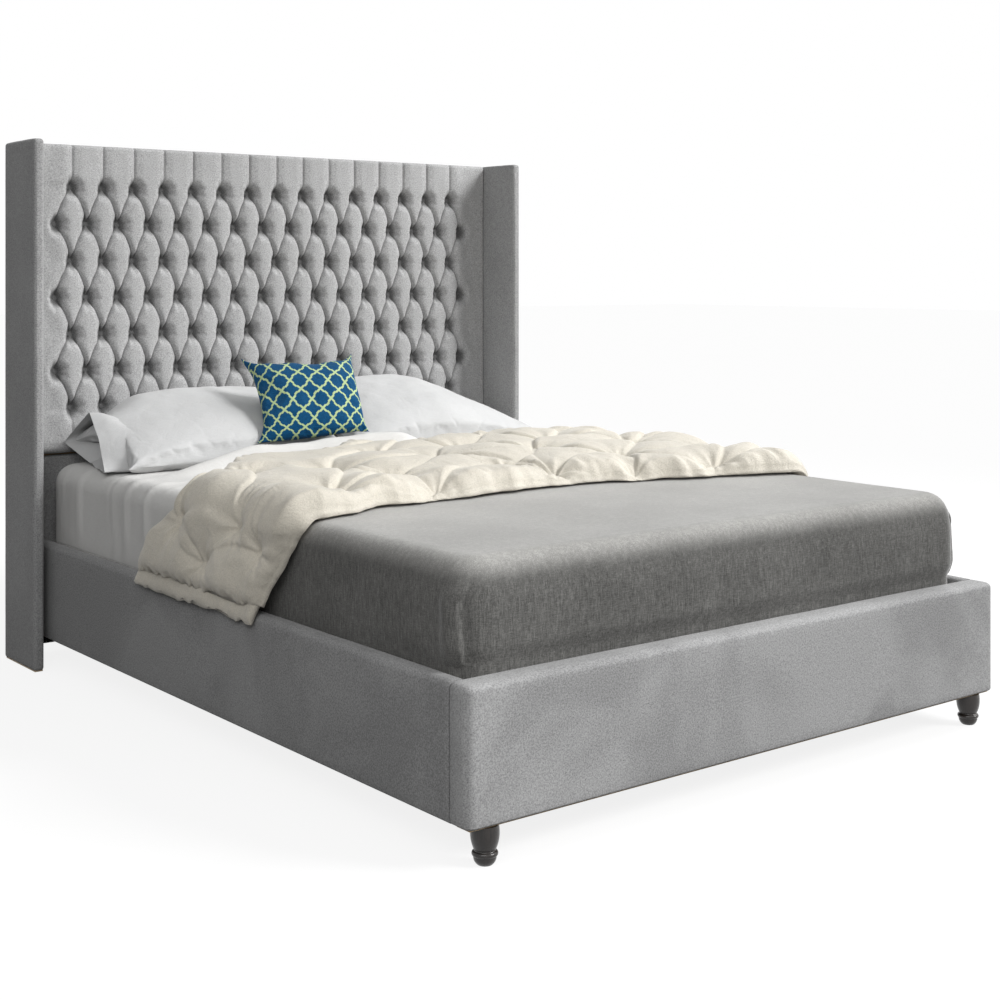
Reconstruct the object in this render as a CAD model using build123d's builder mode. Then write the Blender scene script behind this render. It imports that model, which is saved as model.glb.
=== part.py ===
from build123d import *
import os
from math import cos, pi, sin

# Wingback bed: deep-buttoned headboard between two wings, slatted frame, mattress and bedding.
# Millimetres. +Z is up, the head end is at +Y, and X runs across the bed.
# The origin is on the floor, under the middle of the bed's footprint.

os.makedirs("parts", exist_ok=True)

# Mattress of the British king size, a little under its nominal length
mattress_width = 1500.0
mattress_length = 1990.0
mattress_height = 250.0
mattress_corner_radius = 62.0
mattress_edge_radius = 38.0
mattress_base_radius = 16.0

# Cloths that wrap the mattress
cloth_gap = 0.3
sheet_thickness = 1.6
sheet_hem_height = 20.0
blanket_thickness = 2.4
blanket_hem_height = 8.0
blanket_reach = 905.0

# Side rails: a board inside a padded cover
rail_thickness = 44.0
rail_padding = 7.0
rail_bottom = 74.0
rail_top = 342.0
rail_top_radius = 14.0
rail_base_radius = 8.0

# Room between the bedding and the frame
well_side_room = 1.4
well_foot_room = 1.4
well_head_room = 28.0

# Footboard: a board inside a padded cover
footboard_thickness = 64.0
footboard_padding = 12.0
footboard_corner_radius = 18.0
footboard_seam_radius = 4.0

# Headboard: timber frame, face board, tufted pad above, plain panel below, cloth behind
headboard_height = 1464.0
timber_thickness = 18.0
face_board_thickness = 9.0
pad_thickness = 28.0
pad_bottom = 576.0
back_cloth_thickness = 1.5
back_cloth_bottom = 24.0
post_width = 60.0
glide_height = 5.0
glide_width = 40.0
glide_depth = 14.0
frame_top_drop = 5.0
bottom_rail_low = 90.0
bottom_rail_height = 140.0
middle_rail_low = 530.0
middle_rail_height = 90.0
top_rail_height = 86.0
stud_width = 60.0
dowel_radius = 4.0
dowel_length = 40.0
dowel_inset = 22.0
lower_panel_board_thickness = 12.0
lower_panel_padding = 8.0
lower_panel_top = 570.0
lower_panel_radius = 6.0

# Buttons and folds of the tufted pad, in short and long rows by turns, a short row at the top.
# The rows fill the pad between a margin at each wing, a drop from the top and a rise from the bottom.
long_row_button_count = 16
row_count = 7
tuft_side_margin = 98.75
top_row_drop = 123.0
bottom_row_rise = 127.8
button_depth = 20.0
pleat_depth = 6.0
shoulder_depth = 0.0
crest_rise = 8.0
bridge_rise = 6.0
margin_pleat_depth = 3.5
pad_rounding = 14.0
pad_side_rounding = 4.0
pad_shoulder_share = 0.33
shoulder_fold_share = 0.7
edge_fold_share = 0.25
pad_side_gap = 0.4
button_radius = 9.0
button_thickness = 4.0
button_rounding = 1.6
button_clearance = 1.0

# Wings: a board inside a padded cover, bolted to the headboard's posts
wing_thickness = 32.0
wing_depth = 220.0
wing_padding = 5.0
wing_radius = 9.0
wing_gap = 21.0
wing_bolt_shares = (0.225, 0.615, 0.89)
wing_bolt_forward = 2.0
wing_bolt_length = 76.0
wing_bolt_radius = 3.0
wing_bolt_head_radius = 6.0
insert_radius = 5.0
insert_length = 15.0

# Bolts and steel brackets at the four corners
bolt_radius = 4.0
bolt_head_radius = 7.0
bolt_head_height = 4.5
bolt_length = 32.0
bolt_clearance = 0.3
bracket_leg = 60.0
bracket_thickness = 3.0
bracket_low = 100.0
bracket_height = 120.0
bracket_bolt_spacing = 70.0
bracket_bolt_inset = 35.0

# Turned front feet and their hanger bolts
foot_inset = 62.0
foot_top_radius = 26.0
foot_bulge_radius = 27.5
foot_neck_radius = 21.5
foot_groove_radius = 20.5
foot_bead_radius = 25.0
foot_bead_side_radius = 22.0
foot_flare_radius = 19.5
foot_base_radius = 14.0
foot_bulge_height = 55.0
foot_neck_height = 30.0
foot_groove_height = 28.0
foot_bead_top = 26.0
foot_bead_height = 21.0
foot_bead_low = 16.0
foot_flare_height = 6.0
hanger_bolt_in_foot = 26.0
hanger_bolt_in_board = 34.0

# Slats, their holders, ledgers and the centre rail
deck_top = 300.0
slat_count = 14
slat_width = 63.0
slat_thickness = 8.0
slat_end_margin = 92.0
holder_wall = 3.0
holder_depth = 32.0
holder_gap = 0.3
holder_peg_radius = 4.0
holder_peg_length = 14.0
ledger_width = 25.0
ledger_height = 44.0
ledger_end_gap = 4.0
ledger_screw_count = 7
ledger_screw_margin = 120.0
screw_radius = 2.0
screw_head_radius = 4.2
screw_head_height = 2.6
screw_length = 50.0
centre_rail_width = 50.0
centre_rail_height = 50.0
centre_holder_web = 6.0
hanger_plate = 3.0
hanger_reach = 40.0
hanger_ear = 22.0
hanger_rise = 40.0
leg_count = 3
leg_pitch = 620.0
leg_radius = 17.0
leg_plate = 4.0
leg_plate_length = 84.0
leg_glide_radius = 21.0
leg_glide_height = 8.0
leg_glide_rounding = 2.0

# Comforter, folded in two, laid across the bed with both ends hanging over the rails
quilt_crest = 76.0
quilt_edge = 40.0
quilt_end_crest = 42.0
quilt_end_edge = 30.0
quilt_hang = 212.0
quilt_hang_angle = 75.4
quilt_lip_notch = 14.0
quilt_gap = 0.5
quilt_hem_share = 0.8
quilt_lip_share = 0.25
quilt_fold_share = 0.75
quilt_toe_share = 0.12
pinch_depth_share = 0.7
edge_fall_share = 0.7
crown_share = 0.06
quilt_flat_station_count = 21
quilt_hang_station_count = 4
quilt_arc_station_count = 6
quilt_column_count = 12

# Pillows and the accent cushion
pillow_overhang = 8.5
pillow_width = 490.0
pillow_height = 150.0
pillow_seam = 14.0
pillow_belly_share = 0.36
pillow_draw_in_share = 0.07
fullness_length_power = 2.6
fullness_power = 0.6
pillow_tilt_angle = 20.0
pillow_spacing = 27.0
pillow_pad_gap = 1.0
cushion_side = 328.0
cushion_height = 106.0
cushion_seam = 9.0
cushion_belly_share = 0.33
cushion_draw_in_share = 0.09
cushion_tilt_angle = 44.0
cushion_turn_angle = -19.7
cushion_middle = -112.0
cushion_distance = 357.0
cushion_drop = 215.0
cushion_gap = 0.4
settle_step_count = 6

overrun = 5.0

# Places worked out from the sizes
bolt_hole = bolt_radius + bolt_clearance
bolt_hole_depth = bolt_length + bolt_clearance
wing_bolt_hole = wing_bolt_radius + bolt_clearance
screw_hole = screw_radius + bolt_clearance
screw_hole_depth = screw_length + bolt_clearance
seated = (Align.CENTER, Align.CENTER, Align.MIN)
hung = (Align.CENTER, Align.CENTER, Align.MAX)
sides = (("left", -1), ("right", 1))
sheet_grow = cloth_gap + sheet_thickness
blanket_grow = sheet_grow + cloth_gap + blanket_thickness
well_width = mattress_width + 2 * (blanket_grow + well_side_room)
frame_width = well_width + 2 * rail_thickness
well_length = well_foot_room + blanket_grow + mattress_length + well_head_room
lower_panel_thickness = lower_panel_board_thickness + lower_panel_padding
behind_well = lower_panel_thickness + timber_thickness + back_cloth_thickness
overall_length = footboard_thickness + well_length + behind_well
foot_y = -overall_length / 2
head_y = overall_length / 2
well_foot_y = foot_y + footboard_thickness
well_head_y = well_foot_y + well_length
well_middle_y = (well_foot_y + well_head_y) / 2
timber_front_y = head_y - back_cloth_thickness - timber_thickness
timber_y = timber_front_y + timber_thickness / 2
wing_bolt_y = timber_y - wing_bolt_forward
wing_bolt_heights = [share * headboard_height for share in wing_bolt_shares]
face_board_y = timber_front_y - face_board_thickness / 2
pad_back_y = timber_front_y - face_board_thickness
margin_y = pad_back_y - pad_thickness
crest_y = margin_y - crest_rise
wing_inner_x = frame_width / 2 + wing_gap
wing_x = wing_inner_x + wing_thickness / 2
wing_y = head_y - wing_depth / 2
wing_board_thickness = wing_thickness - 2 * wing_padding
rail_x = (well_width + rail_thickness) / 2
rail_height = rail_top - rail_bottom
rail_board_thickness = rail_thickness - 2 * rail_padding
rail_board_height = rail_height - 2 * rail_padding
holder_height = slat_thickness + 2 * (holder_wall + holder_gap)
mattress_low = deck_top + cloth_gap
mattress_top = mattress_low + mattress_height
mattress_y = well_foot_y + well_foot_room + blanket_grow + mattress_length / 2
post_x = wing_inner_x - post_width / 2
post_top = headboard_height - frame_top_drop
cross_length = 2 * (wing_inner_x - post_width)
top_rail_low = post_top - top_rail_height
ledger_top = deck_top - holder_height
ledger_x = well_width / 2 - ledger_width / 2
holder_x = well_width / 2 - holder_depth / 2
centre_rail_low = ledger_top - centre_rail_height
slat_pitch = (well_length - 2 * slat_end_margin) / (slat_count - 1)
slat_low = ledger_top + holder_wall + holder_gap
slat_outer_x = well_width / 2 - holder_wall - holder_gap
slat_inner_x = centre_holder_web / 2 + holder_gap
footboard_y = foot_y + footboard_thickness / 2
footboard_board_thickness = footboard_thickness - 2 * footboard_padding
foot_x = frame_width / 2 - foot_inset
sheet_top = mattress_top + sheet_grow
blanket_top = mattress_top + blanket_grow


def heading(x, y, z, direction):
    """A plane at a point, whose local Z looks along a direction."""
    return Plane(origin=(x, y, z), z_dir=direction)


def corner_bolt_places(x_sign, y_sign, kind):
    """Where the bolts of one corner bracket bear on it: on its rail leg or on its end leg."""
    corner_x = x_sign * (well_width / 2 - bracket_thickness)
    corner_y = well_head_y - bracket_thickness if y_sign > 0 else well_foot_y + bracket_thickness
    inset = bracket_bolt_inset - bracket_thickness
    places = []
    for step in (-1, 1):
        z = bracket_low + bracket_height / 2 + step * bracket_bolt_spacing / 2
        if kind == "rail":
            places.append(heading(corner_x, corner_y - y_sign * inset, z, (x_sign, 0, 0)))
        else:
            places.append(heading(corner_x - x_sign * inset, corner_y, z, (0, y_sign, 0)))
    return places


def wing_bolt_places(x_sign):
    """Where the wing bolts' heads bear on the inner edge of a headboard post."""
    inner_x = x_sign * (wing_inner_x - post_width)
    return [heading(inner_x, wing_bolt_y, z, (x_sign, 0, 0)) for z in wing_bolt_heights]


def insert_places(x_sign):
    """Where the threaded inserts start in a wing's board."""
    board_x = x_sign * (wing_inner_x + wing_padding)
    return [heading(board_x, wing_bolt_y, z, (x_sign, 0, 0)) for z in wing_bolt_heights]


def ledger_screw_places(x_sign):
    """Where the ledger screws enter the ledger's inner face."""
    inner_x = x_sign * (well_width / 2 - ledger_width)
    step = (well_length - 2 * ledger_screw_margin) / (ledger_screw_count - 1)
    low = well_foot_y + ledger_screw_margin
    z = ledger_top - ledger_height / 2
    return [heading(inner_x, low + i * step, z, (x_sign, 0, 0)) for i in range(ledger_screw_count)]


def slat_rows():
    """The slats' middles along the bed."""
    return [well_foot_y + slat_end_margin + i * slat_pitch for i in range(slat_count)]


def bed_block(grow, low):
    """The mattress's outline grown outwards and upwards, from a low height to its top."""
    with BuildPart() as block:
        with BuildSketch(Plane.XY.offset(low)):
            with Locations((0, mattress_y)):
                RectangleRounded(
                    mattress_width + 2 * grow,
                    mattress_length + 2 * grow,
                    mattress_corner_radius + grow,
                )
        extrude(amount=mattress_top + grow - low)
        fillet(block.edges().group_by(Axis.Z)[-1], mattress_edge_radius + grow)
    return block.part


# Side rails: boards, padded covers and slat ledgers
for side, sign in sides:
    rail_bolts = corner_bolt_places(sign, -1, "rail") + corner_bolt_places(sign, 1, "rail")
    with BuildPart() as rail_board:
        with Locations((sign * rail_x, well_middle_y, rail_bottom + rail_padding)):
            Box(rail_board_thickness, well_length, rail_board_height, align=seated)
        with Locations(*rail_bolts):
            Cylinder(bolt_hole, bolt_hole_depth, align=seated, mode=Mode.SUBTRACT)
        with Locations(*ledger_screw_places(sign)):
            Cylinder(screw_hole, screw_hole_depth, align=seated, mode=Mode.SUBTRACT)
    rail_board.part.label = f"side_rail_{side}_board"
    export_step(rail_board.part, f"parts/side_rail_{side}_board.step")

    with BuildPart() as rail_cover:
        with Locations((sign * rail_x, well_middle_y, rail_bottom)):
            Box(rail_thickness, well_length, rail_height, align=seated)
        long_edges = rail_cover.edges().filter_by(Axis.Y).group_by(Axis.Z)
        fillet(long_edges[-1], rail_top_radius)
        fillet(long_edges[0], rail_base_radius)
        with Locations((sign * rail_x, well_middle_y, rail_bottom + rail_padding)):
            Box(rail_board_thickness, well_length, rail_board_height, align=seated, mode=Mode.SUBTRACT)
        with Locations(*rail_bolts):
            Cylinder(bolt_hole, bolt_length, align=seated, mode=Mode.SUBTRACT)
        with Locations(*ledger_screw_places(sign)):
            Cylinder(screw_hole, screw_length, align=seated, mode=Mode.SUBTRACT)
    rail_cover.part.label = f"side_rail_{side}_cover"
    export_step(rail_cover.part, f"parts/side_rail_{side}_cover.step")

    with BuildPart() as ledger:
        with Locations((sign * ledger_x, well_middle_y, ledger_top - ledger_height)):
            Box(ledger_width, well_length - 2 * ledger_end_gap, ledger_height, align=seated)
        with Locations(*[(sign * holder_x, y, ledger_top) for y in slat_rows()]):
            Cylinder(
                holder_peg_radius + holder_gap,
                2 * (holder_peg_length + holder_gap),
                mode=Mode.SUBTRACT,
            )
        with Locations(*ledger_screw_places(sign)):
            Cylinder(screw_hole, ledger_width + overrun, align=seated, mode=Mode.SUBTRACT)
            Cylinder(
                screw_head_radius + bolt_clearance,
                2 * screw_head_height,
                mode=Mode.SUBTRACT,
            )
    ledger.part.label = f"slat_ledger_{side}"
    export_step(ledger.part, f"parts/slat_ledger_{side}.step")

with BuildPart() as ledger_screws:
    for side, sign in sides:
        with Locations(*ledger_screw_places(sign)):
            Cylinder(screw_radius, screw_length, align=seated)
            Cylinder(screw_head_radius, screw_head_height, align=seated)
ledger_screws.part.label = "ledger_screws"
export_step(ledger_screws.part, "parts/ledger_screws.step")


# Footboard: board and padded cover
end_bolts = corner_bolt_places(-1, -1, "end") + corner_bolt_places(1, -1, "end")
foot_places = [(sign * foot_x, footboard_y, rail_bottom) for side, sign in sides]
board_width = frame_width - 2 * footboard_padding
board_height = rail_height - footboard_padding
with BuildPart() as footboard_board:
    with Locations((0, footboard_y, rail_bottom)):
        Box(board_width, footboard_board_thickness, board_height, align=seated)
    with Locations(*end_bolts):
        Cylinder(bolt_hole, bolt_hole_depth, align=seated, mode=Mode.SUBTRACT)
    with Locations(*foot_places):
        Cylinder(
            bolt_hole,
            2 * (hanger_bolt_in_board + bolt_clearance),
            mode=Mode.SUBTRACT,
        )
footboard_board.part.label = "footboard_board"
export_step(footboard_board.part, "parts/footboard_board.step")

with BuildPart() as footboard_cover:
    with Locations((0, footboard_y, rail_bottom)):
        Box(frame_width, footboard_thickness, rail_height, align=seated)
    upright_edges = footboard_cover.edges().filter_by(Axis.Z).group_by(Axis.Y)
    fillet(upright_edges[0], footboard_corner_radius)
    fillet(upright_edges[-1], footboard_seam_radius)
    fillet(footboard_cover.edges().group_by(Axis.Z)[-1], footboard_padding)
    fillet(footboard_cover.edges().group_by(Axis.Z)[0], footboard_seam_radius)
    with Locations((0, footboard_y, rail_bottom)):
        Box(board_width, footboard_board_thickness, board_height, align=seated, mode=Mode.SUBTRACT)
    with Locations(*end_bolts):
        Cylinder(bolt_hole, bolt_length, align=seated, mode=Mode.SUBTRACT)
footboard_cover.part.label = "footboard_cover"
export_step(footboard_cover.part, "parts/footboard_cover.step")


# Front feet: turned profiles with a bun, a groove, a bead and a flared base
for side, sign in sides:
    with BuildPart() as foot:
        foot_plane = Plane(origin=(sign * foot_x, footboard_y, 0), x_dir=(1, 0, 0), z_dir=(0, -1, 0))
        with BuildSketch(foot_plane):
            with BuildLine():
                Line((0, 0), (0, rail_bottom))
                Line((0, rail_bottom), (foot_top_radius, rail_bottom))
                ThreePointArc(
                    (foot_top_radius, rail_bottom),
                    (foot_bulge_radius, foot_bulge_height),
                    (foot_neck_radius, foot_neck_height),
                )
                ThreePointArc(
                    (foot_neck_radius, foot_neck_height),
                    (foot_groove_radius, foot_groove_height),
                    (foot_bead_side_radius, foot_bead_top),
                )
                ThreePointArc(
                    (foot_bead_side_radius, foot_bead_top),
                    (foot_bead_radius, foot_bead_height),
                    (foot_bead_side_radius, foot_bead_low),
                )
                ThreePointArc(
                    (foot_bead_side_radius, foot_bead_low),
                    (foot_flare_radius, foot_flare_height),
                    (foot_base_radius, 0),
                )
                Line((foot_base_radius, 0), (0, 0))
            make_face()
        revolve(axis=Axis((sign * foot_x, footboard_y, 0), (0, 0, 1)))
        with Locations((sign * foot_x, footboard_y, rail_bottom)):
            Cylinder(
                bolt_hole,
                2 * (hanger_bolt_in_foot + bolt_clearance),
                mode=Mode.SUBTRACT,
            )
    foot.part.label = f"front_foot_{side}"
    export_step(foot.part, f"parts/front_foot_{side}.step")

with BuildPart() as foot_hanger_bolts:
    with Locations(*[(x, y, z - hanger_bolt_in_foot) for x, y, z in foot_places]):
        Cylinder(bolt_radius, hanger_bolt_in_foot + hanger_bolt_in_board, align=seated)
foot_hanger_bolts.part.label = "foot_hanger_bolts"
export_step(foot_hanger_bolts.part, "parts/foot_hanger_bolts.step")


# Steel corner brackets and their bolts
for end, y_sign in (("foot", -1), ("head", 1)):
    corner_y = well_head_y if y_sign > 0 else well_foot_y
    with BuildPart() as corner_brackets:
        for side, sign in sides:
            corner_x = sign * well_width / 2
            leg_middle_x = corner_x - sign * bracket_leg / 2
            leg_middle_y = corner_y - y_sign * bracket_leg / 2
            plate_x = corner_x - sign * bracket_thickness / 2
            plate_y = corner_y - y_sign * bracket_thickness / 2
            with Locations((plate_x, leg_middle_y, bracket_low)):
                Box(bracket_thickness, bracket_leg, bracket_height, align=seated)
            with Locations((leg_middle_x, plate_y, bracket_low)):
                Box(bracket_leg, bracket_thickness, bracket_height, align=seated)
            bolt_places = corner_bolt_places(sign, y_sign, "rail") + corner_bolt_places(sign, y_sign, "end")
            with Locations(*bolt_places):
                Cylinder(bolt_hole, 2 * bolt_length, mode=Mode.SUBTRACT)
    corner_brackets.part.label = f"corner_brackets_{end}"
    export_step(corner_brackets.part, f"parts/corner_brackets_{end}.step")

    with BuildPart() as bracket_bolts:
        for side, sign in sides:
            bolt_places = corner_bolt_places(sign, y_sign, "rail") + corner_bolt_places(sign, y_sign, "end")
            with Locations(*bolt_places):
                Cylinder(bolt_radius, bolt_length, align=seated)
                Cylinder(bolt_head_radius, bolt_head_height, align=hung)
    bracket_bolts.part.label = f"bracket_bolts_{end}"
    export_step(bracket_bolts.part, f"parts/bracket_bolts_{end}.step")


# Headboard: timber frame with dowelled joints
for side, sign in sides:
    with BuildPart() as post:
        with Locations((sign * post_x, timber_y, glide_height)):
            Box(post_width, timber_thickness, post_top - glide_height, align=seated)
        with Locations(*wing_bolt_places(sign)):
            Cylinder(wing_bolt_hole, 2 * wing_bolt_length, mode=Mode.SUBTRACT)
        for low, height in (
            (bottom_rail_low, bottom_rail_height),
            (middle_rail_low, middle_rail_height),
            (top_rail_low, top_rail_height),
        ):
            with Locations(
                (sign * cross_length / 2, timber_y, low + dowel_inset),
                (sign * cross_length / 2, timber_y, low + height - dowel_inset),
            ):
                Cylinder(
                    dowel_radius + cloth_gap,
                    dowel_length + 2 * cloth_gap,
                    rotation=(0, 90, 0),
                    mode=Mode.SUBTRACT,
                )
    post.part.label = f"headboard_post_{side}"
    export_step(post.part, f"parts/headboard_post_{side}.step")

cross_rails = (
    ("bottom", bottom_rail_low, bottom_rail_height),
    ("middle", middle_rail_low, middle_rail_height),
    ("top", top_rail_low, top_rail_height),
)
head_bolts = corner_bolt_places(-1, 1, "end") + corner_bolt_places(1, 1, "end")
for level, low, height in cross_rails:
    with BuildPart() as cross_rail:
        with Locations((0, timber_y, low)):
            Box(cross_length, timber_thickness, height, align=seated)
        for side, sign in sides:
            with Locations(
                (sign * cross_length / 2, timber_y, low + dowel_inset),
                (sign * cross_length / 2, timber_y, low + height - dowel_inset),
            ):
                Cylinder(
                    dowel_radius + cloth_gap,
                    dowel_length + 2 * cloth_gap,
                    rotation=(0, 90, 0),
                    mode=Mode.SUBTRACT,
                )
        if level == "bottom":
            with Locations(*head_bolts):
                Cylinder(bolt_hole, bolt_hole_depth, align=seated, mode=Mode.SUBTRACT)
    cross_rail.part.label = f"headboard_{level}_rail"
    export_step(cross_rail.part, f"parts/headboard_{level}_rail.step")

with BuildPart() as headboard_dowels:
    for level, low, height in cross_rails:
        for side, sign in sides:
            with Locations(
                (sign * cross_length / 2, timber_y, low + dowel_inset),
                (sign * cross_length / 2, timber_y, low + height - dowel_inset),
            ):
                Cylinder(dowel_radius, dowel_length, rotation=(0, 90, 0))
headboard_dowels.part.label = "headboard_dowels"
export_step(headboard_dowels.part, "parts/headboard_dowels.step")

middle_rail_top = middle_rail_low + middle_rail_height
bottom_rail_top = bottom_rail_low + bottom_rail_height
with BuildPart() as headboard_studs:
    with Locations((0, timber_y, bottom_rail_top)):
        Box(stud_width, timber_thickness, middle_rail_low - bottom_rail_top, align=seated)
    with Locations((0, timber_y, middle_rail_top)):
        Box(stud_width, timber_thickness, top_rail_low - middle_rail_top, align=seated)
headboard_studs.part.label = "headboard_studs"
export_step(headboard_studs.part, "parts/headboard_studs.step")

with BuildPart() as headboard_glides:
    with Locations(*[(sign * post_x, timber_y, 0) for side, sign in sides]):
        Box(glide_width, glide_depth, glide_height, align=seated)
headboard_glides.part.label = "headboard_glides"
export_step(headboard_glides.part, "parts/headboard_glides.step")

with BuildPart() as face_board:
    with Locations((0, face_board_y, pad_bottom)):
        Box(2 * wing_inner_x, face_board_thickness, post_top - pad_bottom, align=seated)
face_board.part.label = "headboard_face_board"
export_step(face_board.part, "parts/headboard_face_board.step")

with BuildPart() as back_cloth:
    with Locations((0, head_y - back_cloth_thickness / 2, back_cloth_bottom)):
        Box(2 * wing_inner_x, back_cloth_thickness, post_top - back_cloth_bottom, align=seated)
back_cloth.part.label = "headboard_back_cloth"
export_step(back_cloth.part, "parts/headboard_back_cloth.step")


# Lower panel behind the mattress: a board in a padded cover that is open at the back
panel_board_y = timber_front_y - lower_panel_board_thickness / 2
panel_height = lower_panel_top - rail_bottom
with BuildPart() as lower_panel_board:
    with Locations((0, panel_board_y, rail_bottom + lower_panel_padding)):
        Box(
            2 * (wing_inner_x - lower_panel_padding),
            lower_panel_board_thickness,
            panel_height - 2 * lower_panel_padding,
            align=seated,
        )
    with Locations(*head_bolts):
        Cylinder(bolt_hole, bolt_length, align=seated, mode=Mode.SUBTRACT)
lower_panel_board.part.label = "lower_panel_board"
export_step(lower_panel_board.part, "parts/lower_panel_board.step")

with BuildPart() as lower_panel_cover:
    with Locations((0, well_head_y + lower_panel_thickness / 2, rail_bottom)):
        Box(2 * wing_inner_x, lower_panel_thickness, panel_height, align=seated)
    fillet(
        lower_panel_cover.faces().sort_by(Axis.Y)[0].edges().filter_by(Axis.X),
        lower_panel_radius,
    )
    with Locations((0, panel_board_y, rail_bottom + lower_panel_padding)):
        Box(
            2 * (wing_inner_x - lower_panel_padding),
            lower_panel_board_thickness,
            panel_height - 2 * lower_panel_padding,
            align=seated,
            mode=Mode.SUBTRACT,
        )
    with Locations(*head_bolts):
        Cylinder(bolt_hole, bolt_length, align=seated, mode=Mode.SUBTRACT)
lower_panel_cover.part.label = "lower_panel_cover"
export_step(lower_panel_cover.part, "parts/lower_panel_cover.step")


# Wings: boards with threaded inserts, padded covers open at the floor, and the bolts
for side, sign in sides:
    with BuildPart() as wing_board:
        with Locations((sign * wing_x, wing_y, 0)):
            Box(
                wing_board_thickness,
                wing_depth - 2 * wing_padding,
                headboard_height - wing_padding,
                align=seated,
            )
        with Locations(*insert_places(sign)):
            Cylinder(insert_radius, insert_length, align=seated, mode=Mode.SUBTRACT)
    wing_board.part.label = f"wing_{side}_board"
    export_step(wing_board.part, f"parts/wing_{side}_board.step")

    with BuildPart() as wing_cover:
        with Locations((sign * wing_x, wing_y, 0)):
            Box(wing_thickness, wing_depth, headboard_height, align=seated)
        fillet(wing_cover.edges().filter_by(Axis.Z), wing_radius)
        fillet(wing_cover.edges().group_by(Axis.Z)[-1], wing_radius)
        with Locations((sign * wing_x, wing_y, 0)):
            Box(
                wing_board_thickness,
                wing_depth - 2 * wing_padding,
                headboard_height - wing_padding,
                align=seated,
                mode=Mode.SUBTRACT,
            )
        with Locations(*wing_bolt_places(sign)):
            Cylinder(
                wing_bolt_hole,
                post_width + wing_padding + overrun,
                align=seated,
                mode=Mode.SUBTRACT,
            )
    wing_cover.part.label = f"wing_{side}_cover"
    export_step(wing_cover.part, f"parts/wing_{side}_cover.step")

with BuildPart() as wing_bolts:
    for side, sign in sides:
        with Locations(*wing_bolt_places(sign)):
            Cylinder(wing_bolt_radius, wing_bolt_length, align=seated)
            Cylinder(wing_bolt_head_radius, bolt_head_height, align=hung)
wing_bolts.part.label = "wing_bolts"
export_step(wing_bolts.part, "parts/wing_bolts.step")

with BuildPart() as wing_inserts:
    for side, sign in sides:
        with Locations(*insert_places(sign)):
            Cylinder(insert_radius, insert_length, align=seated)
            Cylinder(wing_bolt_hole, insert_length, align=seated, mode=Mode.SUBTRACT)
wing_inserts.part.label = "wing_inserts"
export_step(wing_inserts.part, "parts/wing_inserts.step")


# Slats in two rows, with a holder at each end
for side, sign in sides:
    with BuildPart() as slats:
        with Locations(*[(sign * (slat_outer_x + slat_inner_x) / 2, y, slat_low) for y in slat_rows()]):
            Box(slat_outer_x - slat_inner_x, slat_width, slat_thickness, align=seated)
    slats.part.label = f"slats_{side}"
    export_step(slats.part, f"parts/slats_{side}.step")

    with BuildPart() as outer_holders:
        with Locations(*[(sign * holder_x, y, ledger_top) for y in slat_rows()]):
            Box(
                holder_depth,
                slat_width + 2 * (holder_wall + holder_gap),
                holder_height,
                align=seated,
            )
        with Locations(*[(sign * holder_x, y, ledger_top + holder_height) for y in slat_rows()]):
            Cylinder(
                holder_peg_radius,
                holder_height + holder_peg_length,
                align=hung,
            )
        pocket_x = sign * (holder_x - holder_wall)
        with Locations(*[(pocket_x, y, ledger_top + holder_wall) for y in slat_rows()]):
            Box(
                holder_depth,
                slat_width + 2 * holder_gap,
                slat_thickness + 2 * holder_gap,
                align=seated,
                mode=Mode.SUBTRACT,
            )
    outer_holders.part.label = f"slat_holders_{side}"
    export_step(outer_holders.part, f"parts/slat_holders_{side}.step")

with BuildPart() as centre_holders:
    with Locations(*[(0, y, ledger_top) for y in slat_rows()]):
        Box(
            2 * holder_depth,
            slat_width + 2 * (holder_wall + holder_gap),
            holder_height,
            align=seated,
        )
    with Locations(*[(0, y, ledger_top + holder_height) for y in slat_rows()]):
        Cylinder(
            holder_peg_radius,
            holder_height + holder_peg_length,
            align=hung,
        )
    for side, sign in sides:
        pocket_x = sign * (centre_holder_web + holder_depth) / 2
        with Locations(*[(pocket_x, y, ledger_top + holder_wall) for y in slat_rows()]):
            Box(
                holder_depth,
                slat_width + 2 * holder_gap,
                slat_thickness + 2 * holder_gap,
                align=seated,
                mode=Mode.SUBTRACT,
            )
centre_holders.part.label = "slat_holders_centre"
export_step(centre_holders.part, "parts/slat_holders_centre.step")


# Centre rail, the stirrups that carry its ends, and its legs
with BuildPart() as centre_rail:
    with Locations((0, well_middle_y, centre_rail_low)):
        Box(centre_rail_width, well_length - 2 * hanger_plate, centre_rail_height, align=seated)
    with Locations(*[(0, y, ledger_top) for y in slat_rows()]):
        Cylinder(
            holder_peg_radius + holder_gap,
            2 * (holder_peg_length + holder_gap),
            mode=Mode.SUBTRACT,
        )
centre_rail.part.label = "centre_rail"
export_step(centre_rail.part, "parts/centre_rail.step")

cradle_width = centre_rail_width + 2 * hanger_plate
with BuildPart() as centre_rail_hangers:
    for end_y, y_sign in ((well_foot_y, 1), (well_head_y, -1)):
        with Locations((0, end_y + y_sign * hanger_plate / 2, centre_rail_low - hanger_plate)):
            Box(
                cradle_width + 2 * hanger_ear,
                hanger_plate,
                hanger_plate + hanger_rise,
                align=seated,
            )
        with Locations((0, end_y + y_sign * hanger_reach / 2, centre_rail_low - hanger_plate)):
            Box(cradle_width, hanger_reach, hanger_plate + hanger_rise, align=seated)
        with Locations((0, end_y + y_sign * (hanger_plate + hanger_reach / 2), centre_rail_low)):
            Box(centre_rail_width, hanger_reach, hanger_rise, align=seated, mode=Mode.SUBTRACT)
centre_rail_hangers.part.label = "centre_rail_hangers"
export_step(centre_rail_hangers.part, "parts/centre_rail_hangers.step")

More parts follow.
